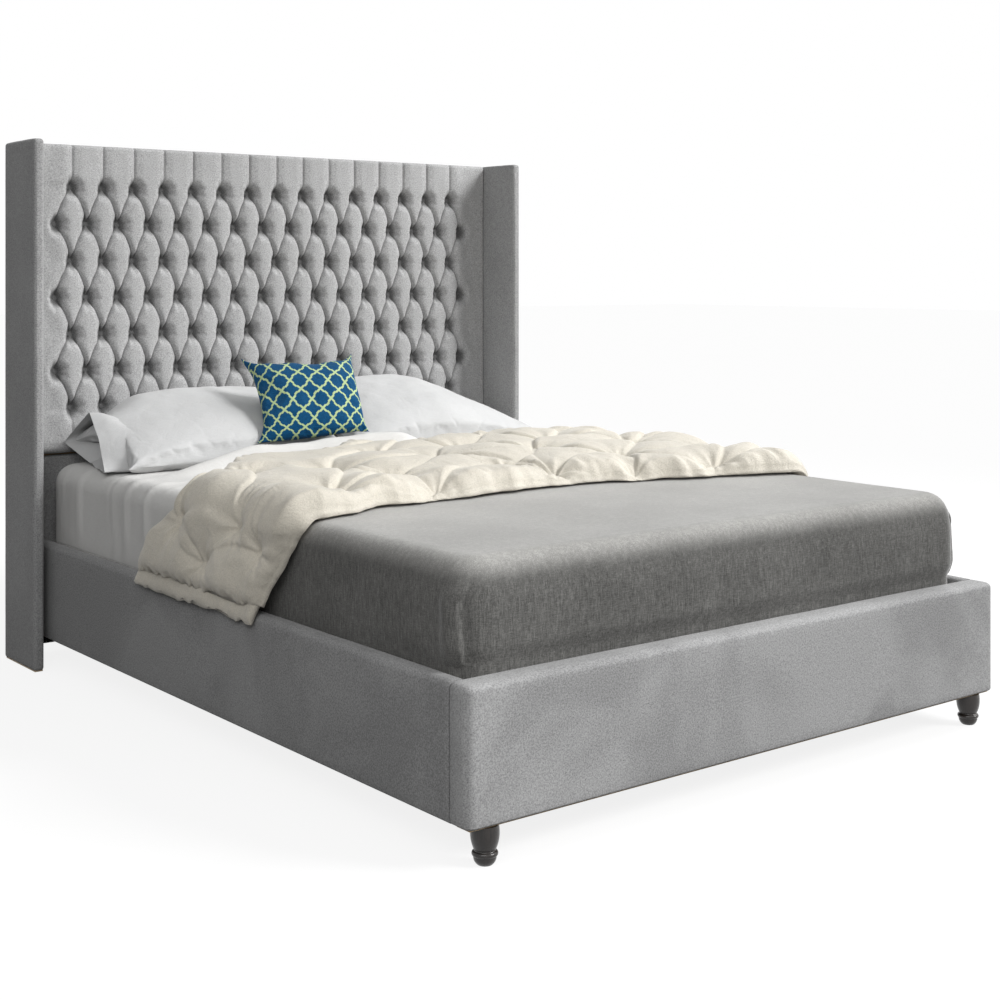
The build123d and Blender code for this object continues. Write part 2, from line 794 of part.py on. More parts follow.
leg_rows = [(i - (leg_count - 1) / 2) * leg_pitch + well_middle_y for i in range(leg_count)]
with BuildPart() as centre_legs:
    with Locations(*[(0, y, leg_glide_height) for y in leg_rows]):
        Cylinder(leg_radius, centre_rail_low - leg_glide_height, align=seated)
    with Locations(*[(0, y, centre_rail_low - leg_plate) for y in leg_rows]):
        Box(centre_rail_width, leg_plate_length, leg_plate, align=seated)
centre_legs.part.label = "centre_legs"
export_step(centre_legs.part, "parts/centre_legs.step")

with BuildPart() as centre_leg_glides:
    with Locations(*[(0, y, 0) for y in leg_rows]):
        Cylinder(leg_glide_radius, leg_glide_height, align=seated)
    fillet(centre_leg_glides.edges().group_by(Axis.Z)[-1], leg_glide_rounding)
centre_leg_glides.part.label = "centre_leg_glides"
export_step(centre_leg_glides.part, "parts/centre_leg_glides.step")


# Tufted pad: level sections from the bottom to the top, each a straight back and a folded front
button_pitch = 2 * (wing_inner_x - tuft_side_margin) / (long_row_button_count - 1)
top_row_height = headboard_height - top_row_drop
row_pitch = (top_row_height - pad_bottom - bottom_row_rise) / (row_count - 1)
quarter = button_pitch / 4
half_row = row_pitch / 2
field_columns = 2 * (long_row_button_count - 1)
long_reach = field_columns
short_reach = field_columns - 2
row_levels = 2 * (row_count - 1)


def front_depth(column, level):
    """How far the pad's front lies behind its margin, at a quarter column and a half row."""
    if level < 0 or level > row_levels:
        if column % 4 == 0 and abs(column) <= short_reach:
            return pleat_depth
        return -bridge_rise if column % 2 else -crest_rise
    if level % 2:
        return pleat_depth if column % 2 else -bridge_rise
    long_row = (level // 2) % 2 == 1
    start = 2 if long_row else 0
    reach = long_reach if long_row else short_reach
    if (column - start) % 4 == 0 and abs(column) <= reach:
        return button_depth
    return shoulder_depth if column % 2 else -crest_rise


def pad_outline(level, share, sink):
    """One level section, its folds scaled by a share and its front sunk by a depth."""
    half_width = wing_inner_x - pad_side_gap
    field_half = field_columns * quarter
    long_row = level % 2 == 0 and (level // 2) % 2 == 1 and 0 <= level <= row_levels
    pleat = margin_pleat_depth if long_row else 0
    front = [
        (-half_width, margin_y + sink + pad_side_rounding),
        (-half_width + pad_side_rounding, margin_y + sink + pleat),
        (-field_half - quarter, margin_y + sink + pleat),
    ]
    for column in range(-field_columns, field_columns + 1):
        y = margin_y + sink + share * front_depth(column, level)
        front.append((column * quarter, y))
    front += [(-x, y) for x, y in reversed(front[:3])]
    return [(half_width, pad_back_y), (-half_width, pad_back_y)] + front


shoulder = pad_shoulder_share * pad_rounding
pad_levels = [
    (pad_bottom, row_levels + 2, edge_fold_share, pad_rounding),
    (pad_bottom + shoulder, row_levels + 2, shoulder_fold_share, shoulder),
    (pad_bottom + pad_rounding, row_levels + 2, 1, 0),
]
for step in range(row_levels + 1, -2, -1):
    pad_levels.append((top_row_height - step * half_row, step, 1, 0))
pad_levels += [
    (headboard_height - pad_rounding, -2, 1, 0),
    (headboard_height - shoulder, -2, shoulder_fold_share, shoulder),
    (headboard_height, -2, edge_fold_share, pad_rounding),
]
with BuildPart() as headboard_pad:
    for z, level, share, sink in pad_levels:
        with BuildSketch(Plane.XY.offset(z)):
            with BuildLine():
                Polyline(*pad_outline(level, share, sink), close=True)
            make_face()
    loft(ruled=True)
headboard_pad.part.label = "headboard_tufted_pad"
export_step(headboard_pad.part, "parts/headboard_tufted_pad.step")

# Buttons: cloth-covered domes, each seated on the flanks of its pit
pit_slope_share = button_radius / quarter
button_back = button_depth - (button_depth - shoulder_depth) * pit_slope_share - button_clearance
button_places = []
for row in range(row_count):
    count = long_row_button_count if row % 2 else long_row_button_count - 1
    for i in range(count):
        button_x = (i - (count - 1) / 2) * button_pitch
        button_z = top_row_height - row * row_pitch
        button_places.append(heading(button_x, margin_y + button_back, button_z, (0, -1, 0)))
with BuildPart() as one_button:
    Cylinder(button_radius, button_thickness, align=seated)
    fillet(one_button.edges().group_by(Axis.Z)[-1], button_rounding)
with BuildPart() as tuft_buttons:
    with Locations(*button_places):
        add(one_button.part)
tuft_buttons.part.label = "tuft_buttons"
export_step(tuft_buttons.part, "parts/tuft_buttons.step")


# Mattress, the sheet over it, and the blanket over the foot part
with BuildPart() as mattress:
    add(bed_block(0, mattress_low))
    fillet(mattress.edges().group_by(Axis.Z)[0], mattress_base_radius)
mattress.part.label = "mattress"
export_step(mattress.part, "parts/mattress.step")

sheet_low = mattress_low + mattress_base_radius + sheet_hem_height
with BuildPart() as fitted_sheet:
    add(bed_block(sheet_grow, sheet_low))
    add(bed_block(cloth_gap, sheet_low - overrun), mode=Mode.SUBTRACT)
fitted_sheet.part.label = "white_sheet"
export_step(fitted_sheet.part, "parts/white_sheet.step")

blanket_low = mattress_low + mattress_base_radius + blanket_hem_height
with BuildPart() as blanket:
    add(bed_block(blanket_grow, blanket_low))
    add(bed_block(sheet_grow + cloth_gap, blanket_low - overrun), mode=Mode.SUBTRACT)
    split(bisect_by=Plane(origin=(0, well_foot_y + blanket_reach, 0), z_dir=(0, -1, 0)))
blanket.part.label = "grey_blanket"
export_step(blanket.part, "parts/grey_blanket.step")


# Pillows and cushion: lens sections that are deepest and narrowest at the middle
station_shares = (-1.0, -0.94, -0.82, -0.6, -0.3, 0.0, 0.3, 0.6, 0.82, 0.94, 1.0)


def stuffed(length, width, height, seam, belly_share, draw_in_share):
    """A stuffed form along X, its seam in the XY plane, its belly a share of its height."""
    with BuildPart() as form:
        for share in station_shares:
            fullness = (1 - abs(share) ** fullness_length_power) ** fullness_power
            half = width / 2 * (1 - draw_in_share * (1 - share**2))
            crown = (1 - belly_share) * (seam + (height - seam) * fullness)
            belly = belly_share * (seam + (height - seam) * fullness)
            plane = Plane(origin=(share * length / 2, 0, 0), x_dir=(0, 1, 0), z_dir=(1, 0, 0))
            with BuildSketch(plane):
                with BuildLine():
                    ThreePointArc((half, 0), (0, crown), (-half, 0))
                    ThreePointArc((-half, 0), (0, -belly), (half, 0))
                make_face()
        loft(ruled=True)
    return form.part


def settled(piece, direction, others, gap):
    """Moves a piece along a direction until it lies a small gap from the others."""
    for step in range(settle_step_count):
        room = min(piece.distance_to(other) for other in others) - gap
        piece = Pos(*[room * part for part in direction]) * piece
    return piece


def leaning(form, tilt):
    """A stuffed form tipped up at the head, as a part."""
    with BuildPart() as tipped:
        add(form, rotation=(tilt, 0, 0))
    return tipped.part


pillow_length = mattress_width / 2 + pillow_overhang - pillow_spacing / 2
pillow_form = stuffed(
    pillow_length,
    pillow_width,
    pillow_height,
    pillow_seam,
    pillow_belly_share,
    pillow_draw_in_share,
)
leaning_pillow = leaning(pillow_form, pillow_tilt_angle)
pillow_box = leaning_pillow.bounding_box()
pillow_y = crest_y - pillow_pad_gap - pillow_box.max.Y
pillow_z = sheet_top + cloth_gap - pillow_box.min.Z
pillow_x = (pillow_length + pillow_spacing) / 2
pillow_front_y = pillow_y + pillow_box.min.Y


# Comforter: sections square to a path that runs up one side, across the bed and down the other
quilt_rest = blanket_top + quilt_gap
quilt_bend = mattress_edge_radius + blanket_grow + quilt_gap
quilt_flat = mattress_width / 2 - mattress_edge_radius
quilt_turn = quilt_hang_angle * pi / 180
quilt_run = pillow_front_y - well_foot_y

# Shares of the quilt's half width, with its near and head edges there as shares of the way from the foot
# of the well to the pillows' front
quilt_edge_shares = (
    (-1, 0.460, 0.860),
    (-0.86, 0.420, 0.803),
    (-0.76, 0.371, 0.732),
    (-0.66, 0.387, 0.764),
    (-0.52, 0.433, 0.859),
    (-0.33, 0.426, 0.920),
    (-0.08, 0.443, 0.947),
    (0.18, 0.442, 0.972),
    (0.5, 0.371, 1.001),
    (0.74, 0.319, 0.988),
    (1, 0.358, 0.956),
)


def quilt_edges(share):
    """The near and head edges of the comforter at a signed share of its half width."""
    for low, high in zip(quilt_edge_shares, quilt_edge_shares[1:]):
        if share <= high[0]:
            part = (share - low[0]) / (high[0] - low[0])
            return [well_foot_y + quilt_run * (a + part * (b - a)) for a, b in zip(low[1:], high[1:])]
    return [well_foot_y + quilt_run * edge for edge in quilt_edge_shares[-1][1:]]


def quilt_stations():
    """Points of the path, as a distance from the middle, a place and an angle, from left to right."""
    flat_steps = quilt_flat_station_count // 2
    flat_places = [quilt_flat * i / flat_steps for i in range(flat_steps + 1)]
    half = [(place, place, quilt_rest, 0) for place in flat_places]
    bend_length = quilt_bend * quilt_turn
    low = quilt_rest - quilt_bend
    for i in range(1, quilt_arc_station_count + 2):
        turn = quilt_turn * i / (quilt_arc_station_count + 1)
        half.append(
            (
                quilt_flat + bend_length * i / (quilt_arc_station_count + 1),
                quilt_flat + quilt_bend * sin(turn),
                low + quilt_bend * cos(turn),
                turn,
            )
        )
    d, x, z, turn = half[-1]
    for i in range(1, quilt_hang_station_count + 1):
        run = quilt_hang * i / quilt_hang_station_count
        half.append((d + run, x + run * cos(turn), z - run * sin(turn), turn))
    left = [(-d, -x, z, turn) for d, x, z, turn in reversed(half[1:])]
    return left + [(d, x, z, -turn) for d, x, z, turn in half]


def quilt_outline(index, count, distance, reach):
    """One section of the comforter: flat underneath, puffed and pinched on top, two lips at the head."""
    hanging = max(0, (abs(distance) - quilt_flat) / (reach - quilt_flat))
    crest = quilt_crest + hanging * (quilt_end_crest - quilt_crest)
    edge = quilt_edge + hanging * (quilt_end_edge - quilt_edge)
    if index in (0, count - 1):
        crest, edge = quilt_end_edge, quilt_hem_share * quilt_end_edge
    near, head = quilt_edges(distance / reach)
    step = (head - near) / quilt_column_count
    points = [(near + edge / 2, 0), (head - quilt_lip_share * edge, 0), (head, quilt_lip_share * edge)]
    points += [(head - quilt_lip_notch, edge / 2), (head, quilt_fold_share * edge)]
    for column in range(quilt_column_count - 1, 0, -1):
        pinched = (index + 2 * (column // 2 % 2)) % 4 == 1 and column % 2 == 0
        off_middle = abs(2 * column / quilt_column_count - 1)
        height = crest + (edge - crest) * (pinch_depth_share if pinched else 0)
        height -= (crest - edge / 2) * edge_fall_share * off_middle**4
        height -= crest * crown_share * off_middle**2
        points.append((near + column * step, height))
    points += [(near + quilt_toe_share * edge, quilt_fold_share * edge), (near, quilt_lip_share * edge)]
    return points


stations = quilt_stations()
quilt_reach = stations[-1][0]
with BuildPart() as comforter:
    for index, (distance, x, z, turn) in enumerate(stations):
        station_plane = Plane(origin=(x, 0, z), x_dir=(0, 1, 0), z_dir=(cos(turn), 0, sin(turn)))
        with BuildSketch(station_plane):
            with BuildLine():
                Polyline(*quilt_outline(index, len(stations), distance, quilt_reach), close=True)
            make_face()
    loft(ruled=True)
comforter.part.label = "comforter"
export_step(comforter.part, "parts/comforter.step")


# The two pillows, and the cushion that leans on them
seats = [comforter.part]
for side, sign in sides:
    with BuildPart() as pillow:
        with Locations((sign * pillow_x, pillow_y, pillow_z)):
            add(leaning_pillow)
    pillow.part.label = f"pillow_{side}"
    export_step(pillow.part, f"parts/pillow_{side}.step")
    seats.append(pillow.part)

cushion_form = stuffed(
    cushion_side,
    cushion_side,
    cushion_height,
    cushion_seam,
    cushion_belly_share,
    cushion_draw_in_share,
)
turned_cushion = Rot(0, 0, cushion_turn_angle) * leaning(cushion_form, cushion_tilt_angle)
raised_cushion = Pos(cushion_middle, crest_y - cushion_distance, sheet_top + cushion_drop) * turned_cushion
with BuildPart() as cushion:
    add(settled(raised_cushion, (0, 0, -1), seats, cushion_gap))
cushion.part.label = "accent_cushion"
export_step(cushion.part, "parts/accent_cushion.step")
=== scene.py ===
"""Looks of the wingback bed: padded covers, deep buttoning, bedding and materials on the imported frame."""

import math

import bmesh
import bpy
import numpy as np
from mathutils import Matrix, Vector
from mathutils.bvhtree import BVHTree


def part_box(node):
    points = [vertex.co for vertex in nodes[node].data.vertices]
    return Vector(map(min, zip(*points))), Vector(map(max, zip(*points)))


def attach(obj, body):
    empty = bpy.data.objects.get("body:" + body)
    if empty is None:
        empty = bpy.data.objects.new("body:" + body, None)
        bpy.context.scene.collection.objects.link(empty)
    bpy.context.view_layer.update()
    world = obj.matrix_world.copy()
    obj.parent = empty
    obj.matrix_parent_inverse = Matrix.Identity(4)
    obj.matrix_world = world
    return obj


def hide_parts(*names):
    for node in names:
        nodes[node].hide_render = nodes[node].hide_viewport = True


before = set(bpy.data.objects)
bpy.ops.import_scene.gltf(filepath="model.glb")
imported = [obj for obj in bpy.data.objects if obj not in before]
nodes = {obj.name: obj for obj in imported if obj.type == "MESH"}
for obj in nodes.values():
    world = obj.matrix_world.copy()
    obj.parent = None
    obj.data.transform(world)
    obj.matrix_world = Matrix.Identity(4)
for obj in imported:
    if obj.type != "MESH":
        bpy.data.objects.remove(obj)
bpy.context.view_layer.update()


# Boxes of CAD nodes, and numbers that the pieces share, in metres
PAD_LOW, PAD_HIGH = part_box("headboard_tufted_pad")
MATTRESS_LOW, MATTRESS_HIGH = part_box("mattress")
SHEET_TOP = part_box("white_sheet")[1].z
PITCH = 0.0963
ROW_PITCH = 0.1062
TOP_ROW = 1.341
ROWS = 7
SHORT_REACH, LONG_REACH = 7.0, 7.5  # outermost buttons of the rows of 15 and of 16, in pitches
PIT_DEPTH = 0.0245
BUTTON_SEAT = 1.031
SOFT_EDGE = 0.05
CORNER = 0.07
SHEET_GAP = 0.0014
BLANKET_GAP = 0.0045


def smooth_noise(points, scale, seed=0):
    """Smooth noise from -1 to 1 at points, with cells of one scale, or one for each axis."""
    p = np.asarray(points, float) / scale + 1000.0
    cell = np.floor(p).astype(np.int64)
    f = p - cell
    f = f * f * f * (f * (6 * f - 15) + 10)
    total = np.zeros(p.shape[:-1])
    for corner in range(8):
        step = np.array([corner & 1, corner >> 1 & 1, corner >> 2 & 1])
        k = cell + step
        h = k[..., 0] * 73856093 ^ k[..., 1] * 19349663 ^ k[..., 2] * 83492791 ^ (seed + 11) * 26544357
        h = (h ^ h >> 13) * 1274126177 & 0x7FFFFFFF
        h = (h ^ h >> 11) & 0xFFFF
        weight = np.prod(np.where(step, f, 1 - f), axis=-1)
        total += weight * (h / 32767.5 - 1)
    return total


def fractal(points, scale, octaves=3, seed=0):
    """Noise of several sizes, each half as large and half as strong as the last."""
    return sum(smooth_noise(points, np.asarray(scale) / 2**i, seed + i) / 2**i for i in range(octaves))


def ease(value, low, high):
    """0 below low, 1 above high, smooth between."""
    t = np.clip((value - low) / (high - low), 0, 1)
    return t * t * (3 - 2 * t)


def bell(distance, width):
    """1 at a distance of 0, falling off evenly to both sides."""
    return np.exp(-((distance / width) ** 2))


def mesh_object(name, points, faces, material, smooth=True):
    """An object in the row frame from points and faces."""
    mesh = bpy.data.meshes.new(name)
    mesh.from_pydata(np.asarray(points).reshape(-1, 3).tolist(), [], faces)
    if smooth:
        mesh.polygons.foreach_set("use_smooth", [True] * len(mesh.polygons))
    mesh.update()
    obj = bpy.data.objects.new(name, mesh)
    bpy.context.scene.collection.objects.link(obj)
    obj.data.materials.append(material)
    return obj


def grid_faces(rows, columns, wrap=False, flip=False, start=0):
    """Quads of a grid of points, its columns joined round where wrap is true."""
    index = np.arange(rows * columns).reshape(rows, columns) + start
    right = np.roll(index, -1, axis=1)
    a, b, c, d = index[:-1], right[:-1], right[1:], index[1:]
    quads = np.stack([a, d, c, b] if flip else [a, b, c, d], axis=-1)
    if not wrap:
        quads = quads[:, :-1]
    return quads.reshape(-1, 4).tolist()


def outward(obj, merge=False):
    """Turns a closed mesh's faces outwards, its doubled points merged first where merge is true."""
    bm = bmesh.new()
    bm.from_mesh(obj.data)
    if merge:
        bmesh.ops.remove_doubles(bm, verts=bm.verts, dist=1e-5)
    bmesh.ops.recalc_face_normals(bm, faces=bm.faces)
    bm.to_mesh(obj.data)
    bm.free()
    return obj


def spaced(low, high, first, last, step):
    """Places along an edge, close together where its two ends are rounded."""
    share = 1 - np.cos(np.linspace(0, math.pi / 2, 7))
    count = max(2, int((high - low - first - last) / step))
    middle = np.linspace(low + first, high - last, count)
    return np.unique(np.round(np.concatenate([low + first * share, middle, high - last * share]), 7))


def padded_slab(name, low, high, first, last, material, step=0.02, crown=0.0015, uneven=0.0006, seed=0):
    """A rounded box of cloth over padding, with a radius on each axis for its low and its high end."""
    low, high = np.array(low, float) + crown, np.array(high, float) - crown
    first, last = np.array(first), np.array(last)
    axes = [spaced(low[i], high[i], first[i], last[i], step) for i in range(3)]
    points, faces, start = [], [], 0
    for axis in range(3):
        u, v = [i for i in range(3) if i != axis]
        for end in (low[axis], high[axis]):
            grid = np.zeros((len(axes[u]), len(axes[v]), 3))
            grid[..., u] = axes[u][:, None]
            grid[..., v] = axes[v][None, :]
            grid[..., axis] = end
            points.append(grid.reshape(-1, 3))
            faces += grid_faces(len(axes[u]), len(axes[v]), start=start)
            start += grid.shape[0] * grid.shape[1]
    points = np.concatenate(points)
    middle, half = (low + high) / 2, (high - low) / 2
    radii = np.where(points < middle, first, last)
    core = np.clip(points, low + first, high - last)
    out = (points - core) / radii
    out = out / np.maximum(np.linalg.norm(out, axis=1, keepdims=True), 1e-9)
    share = np.clip(np.abs(points - middle) / half, 0, 1)
    swell = np.prod(np.where(np.abs(out) > 0.9, 1, 1 - share**6), axis=1)
    lift = crown * swell + uneven * (fractal(points, 0.09, 2, seed) - 0.6) * swell
    points = core + out * (radii + lift[:, None])
    return outward(mesh_object(name, points, faces, material), merge=True)


def add_node(tree, kind, inputs=(), **settings):
    """A shader node with its settings, and a value or a link for each input that is named or numbered."""
    node = tree.nodes.new("ShaderNode" + kind)
    for key, value in settings.items():
        setattr(node, key, value)
    for key, value in dict(inputs).items():
        if isinstance(value, bpy.types.NodeSocket):
            tree.links.new(value, node.inputs[key])
        else:
            node.inputs[key].default_value = value
    return node


class Shader:
    """Builds one procedural material, node by node."""

    def __init__(self, name, roughness, metallic=0.0, sheen=0.0, sheen_roughness=0.5, specular=0.3, coat=0.0):
        self.material = bpy.data.materials.new(name)
        self.material.use_nodes = True
        self.tree = self.material.node_tree
        self.main = self.tree.nodes["Principled BSDF"]
        for key, value in (
            ("Roughness", roughness), ("Metallic", metallic), ("Specular IOR Level", specular),
            ("Sheen Weight", sheen), ("Sheen Roughness", sheen_roughness), ("Coat Weight", coat),
        ):
            self.main.inputs[key].default_value = value
        self.place = add_node(self.tree, "TexCoord").outputs["Object"]

    def axes(self):
        """The object's own x, y and z."""
        return add_node(self.tree, "SeparateXYZ", {0: self.place}).outputs

    def mapped(self, scale):
        return add_node(self.tree, "Mapping", {"Scale": scale, "Vector": self.place}).outputs["Vector"]

    def noise(self, scale, detail=2.0, roughness=0.5, vector=None, distortion=0.0):
        inputs = {"Scale": scale, "Detail": detail, "Roughness": roughness, "Distortion": distortion}
        inputs["Vector"] = vector or self.place
        return add_node(self.tree, "TexNoise", inputs).outputs["Fac"]

    def threads(self, scale, detail=1.0, roughness=0.5):
        """Noise drawn out by a scale for each axis."""
        return self.noise(1.0, detail, roughness, self.mapped(scale))

    def math(self, kind, a, b=None):
        inputs = {0: a} if b is None else {0: a, 1: b}
        return add_node(self.tree, "Math", inputs, operation=kind).outputs[0]

    def sum_of(self, a, share_a, b, share_b):
        """Two values added, each times its share."""
        return self.math("ADD", self.math("MULTIPLY", a, share_a), self.math("MULTIPLY", b, share_b))

    def span(self, value, low, high, to_low, to_high):
        """A value's range from low to high eased to another range."""
        inputs = {"From Min": low, "From Max": high, "To Min": to_low, "To Max": to_high, "Value": value}
        return add_node(self.tree, "MapRange", inputs, interpolation_type="SMOOTHSTEP").outputs["Result"]

    def mix(self, factor, a, b):
        """Colour a where the factor is 0, b where it is 1."""
        a, b = [(*value, 1.0) if isinstance(value, tuple) else value for value in (a, b)]
        return add_node(self.tree, "Mix", {"Factor": factor, "A": a, "B": b}, data_type="RGBA").outputs["Result"]

    def scaled(self, colour, *factors):
        """A colour times each factor."""
        product = factors[0]
        for factor in factors[1:]:
            product = self.math("MULTIPLY", product, factor)
        inputs = {0: colour, "Scale": product}
        return add_node(self.tree, "VectorMath", inputs, operation="SCALE").outputs["Vector"]

    def colour(self, value):
        self.tree.links.new(value, self.main.inputs["Base Color"])

    def bump(self, height, distance, strength=1.0):
        inputs = {"Distance": distance, "Strength": strength, "Height": height}
        self.tree.links.new(add_node(self.tree, "Bump", inputs).outputs["Normal"], self.main.inputs["Normal"])


def velvet(name, base, patches=0.1, folds=None):
    """Short grey pile: a fine speckle, soft brushed patches, a soft sheen, and painted shade in deep folds, darker
    with depth.
    """
    s = Shader(name, 0.95, sheen=0.16, sheen_roughness=0.5, specular=0.1)
    speckle = s.span(s.noise(300, 2, 0.65), 0.3, 0.7, 0.76, 1.24)
    flecks = s.span(s.noise(480, 1, 0.5), 0.6, 0.72, 1.0, 0.62)
    patch = s.span(s.noise(2.6, 4, 0.55, distortion=0.5), 0.4, 0.6, 1 - patches, 1 + 0.25 * patches)
    factors = [speckle, flecks, patch]
    # Painted shade: the colour falls from 1 to 0.3 times between the two depths in y given by folds.
    if folds:
        factors.append(s.span(s.axes()[1], *folds, 1.0, 0.3))
    s.colour(s.scaled((base, base, base * 1.003), *factors))
    s.bump(s.noise(650, 2, 0.6), 0.0009, 0.5)
    return s.material


def cotton(name, base):
    """Plain woven cotton: fine crossed threads and faint creases."""
    s = Shader(name, 0.85, sheen=0.1, specular=0.2)
    threads = s.math("ADD", s.threads((900, 60, 900)), s.threads((60, 900, 60)))
    tone = s.span(s.noise(5, 3), 0.3, 0.7, 0.96, 1.03)
    s.colour(s.scaled(base, tone, s.span(threads, 0.7, 1.3, 0.97, 1.02)))
    creases = s.noise(14, 3, 0.55, distortion=1.2)
    s.bump(s.sum_of(threads, 0.0003, creases, 0.002), 1.0)
    return s.material


def wood(name, dark, light, scale=(18, 1.2, 18), roughness=0.55, coat=0.0):
    """Sawn timber: long grain and finer growth bands."""
    s = Shader(name, roughness, specular=0.35, coat=coat)
    grain = s.noise(1.6, 5, 0.62, s.mapped(scale), distortion=0.8)
    fine = s.noise(5.0, 2, 0.5, s.mapped(tuple(6 * v for v in scale)))
    s.colour(s.scaled(s.mix(s.span(grain, 0.32, 0.68, 0, 1), dark, light), s.span(fine, 0.3, 0.7, 0.88, 1.08)))
    s.bump(s.sum_of(grain, 0.0006, fine, 0.0004), 1.0)
    return s.material


def brushed(name, base, metallic, roughness, scale=240.0):
    """Zinc-plated steel or moulded plastic: faint streaks, stains and worn patches."""
    s = Shader(name, roughness, metallic=metallic, specular=0.45)
    s.colour(s.scaled(base, s.span(s.noise(30, 4, 0.6), 0.3, 0.7, 0.82, 1.12)))
    worn = s.span(s.noise(16, 3), 0.3, 0.7, roughness - 0.1, roughness + 0.15)
    s.tree.links.new(worn, s.main.inputs["Roughness"])
    s.bump(s.noise(scale, 2), 0.0002)
    return s.material


def blanket_cloth(name):
    """Grey yarn-dyed cloth: pale and dark threads both ways, slubs, threads that fade out on top, and painted light
    that makes the top up to 2.5 times lighter.
    """
    s = Shader(name, 0.92, sheen=1.0, sheen_roughness=0.28, specular=0.05)
    upright = s.threads((520, 520, 50), 2, 0.6)
    across = s.threads((70, 70, 560), 2, 0.6)
    along = s.threads((70, 520, 520), 2, 0.6)
    threads = s.math("ADD", upright, s.math("MULTIPLY", s.math("ADD", across, along), 0.5))
    slub = s.span(s.threads((110, 110, 26), 3, 0.6), 0.35, 0.75, 0.95, 1.16)
    speck = s.span(s.noise(500, 1, 0.5), 0.42, 0.68, 0.94, 1.22)
    patch = s.span(s.noise(3.4, 3, 0.6), 0.3, 0.7, 0.9, 1.1)
    height = s.axes()[2]
    # Painted light: the colour grows up to 2.5 times lighter over the top's rounded edge and the top.
    painted_shading = s.span(height, 0.505, 0.5545, 1.0, 2.5)
    bare = s.span(height, 0.485, 0.53, 1.0, 0.2)
    contrast = s.math("MULTIPLY", s.span(threads, 0.7, 1.3, -0.34, 0.36), bare)
    s.colour(s.scaled((0.13, 0.1285, 0.123), s.math("ADD", contrast, 1.0), slub, speck, patch, painted_shading))
    s.bump(s.math("MULTIPLY", s.math("ADD", threads, s.noise(700, 1)), bare), 0.0003, 0.4)
    return s.material


def comforter_cloth(name):
    """Cream cotton sateen over filling: fine creases, a soft sheen and a faint grain."""
    s = Shader(name, 0.62, sheen=0.25, specular=0.28)
    tone = s.span(s.noise(4, 3, 0.6), 0.3, 0.7, 0.93, 1.05)
    grain = s.noise(330, 2, 0.7)
    mottle = s.span(s.noise(95, 2, 0.6), 0.3, 0.7, 0.98, 1.02)
    s.colour(s.scaled((0.605, 0.567, 0.487), tone, mottle, s.span(grain, 0.25, 0.75, 0.88, 1.09)))
    creases = s.noise(30, 4, 0.62, distortion=1.8)
    s.bump(s.sum_of(creases, 0.0024, grain, 0.0011), 1.0)
    return s.material


def trellis_cloth(name, cell):
    """Blue cotton with a pale green trellis of stepped lines, drawn in the cushion's own plane."""
    s = Shader(name, 0.9, sheen=0.06, specular=0.12)
    u, v, height = s.axes()
    sunk = s.math("MULTIPLY", s.math("SUBTRACT", 0.062, height), 0.75)

    def flat(along, size):
        """Place on the flat cloth in cells: the cloth bends down towards the cushion's edges."""
        bent = s.math("MULTIPLY", s.math("POWER", s.math("MULTIPLY", along, 1 / 0.165), 3.0), sunk)
        return s.math("MULTIPLY", s.math("ADD", along, bent), 1 / size)

    u, v = flat(u, cell[0]), flat(v, cell[1])
    p = s.math("ADD", u, v)
    q = s.math("SUBTRACT", u, v)

    def line(a, b):
        """Distance to the lines where a is whole, which step aside in the middle of each cell of b."""
        nearest = s.math("ROUND", a)
        middle = s.math("ABSOLUTE", s.math("SUBTRACT", s.math("FRACT", b), 0.5))
        step = s.span(middle, 0.12, 0.18, 0.075, 0.0)
        odd = s.math("FLOORED_MODULO", s.math("ADD", nearest, s.math("FLOOR", b)), 2.0)
        side = s.math("SUBTRACT", s.math("MULTIPLY", odd, 2.0), 1.0)
        off = s.math("SUBTRACT", a, nearest)
        return s.math("ABSOLUTE", s.math("SUBTRACT", off, s.math("MULTIPLY", step, side)))

    width = s.math("MINIMUM", line(p, q), line(q, p))
    on_line = s.span(width, 0.06, 0.088, 1.0, 0.0)
    threads = s.math("ADD", s.threads((1100, 90, 300)), s.threads((90, 1100, 300)))
    blue = s.scaled((0.004, 0.066, 0.165), s.span(threads, 0.7, 1.3, 0.7, 1.25))
    s.colour(s.mix(on_line, blue, (0.44, 0.56, 0.29)))
    s.bump(s.sum_of(threads, 0.0004, s.noise(22, 3, 0.5, distortion=1.0), 0.003), 1.0)
    return s.material


def ticking_cloth(name):
    """Pale mattress ticking: a quilted damask with fine ribs."""
    s = Shader(name, 0.8, sheen=0.1)
    ribs = s.threads((500, 500, 30))
    s.colour(s.scaled((0.74, 0.73, 0.7), s.span(ribs, 0.3, 0.7, 0.93, 1.03)))
    quilting = s.noise(11, 2, 0.5, distortion=2.0)
    s.bump(s.sum_of(quilting, 0.008, ribs, 0.0005), 1.0)
    return s.material


def back_cloth_shader(name):
    """Thin black non-woven cloth: a dotted bond and loose fibres."""
    s = Shader(name, 0.95, sheen=0.1, specular=0.1)
    dots = add_node(s.tree, "TexVoronoi", {"Scale": 420, "Vector": s.place})
    fibres = s.noise(160, 3, 0.7)
    s.colour(s.scaled((0.028, 0.028, 0.03), s.span(fibres, 0.3, 0.7, 0.7, 1.5)))
    s.bump(s.math("ADD", dots.outputs["Distance"], fibres), 0.0006)
    return s.material


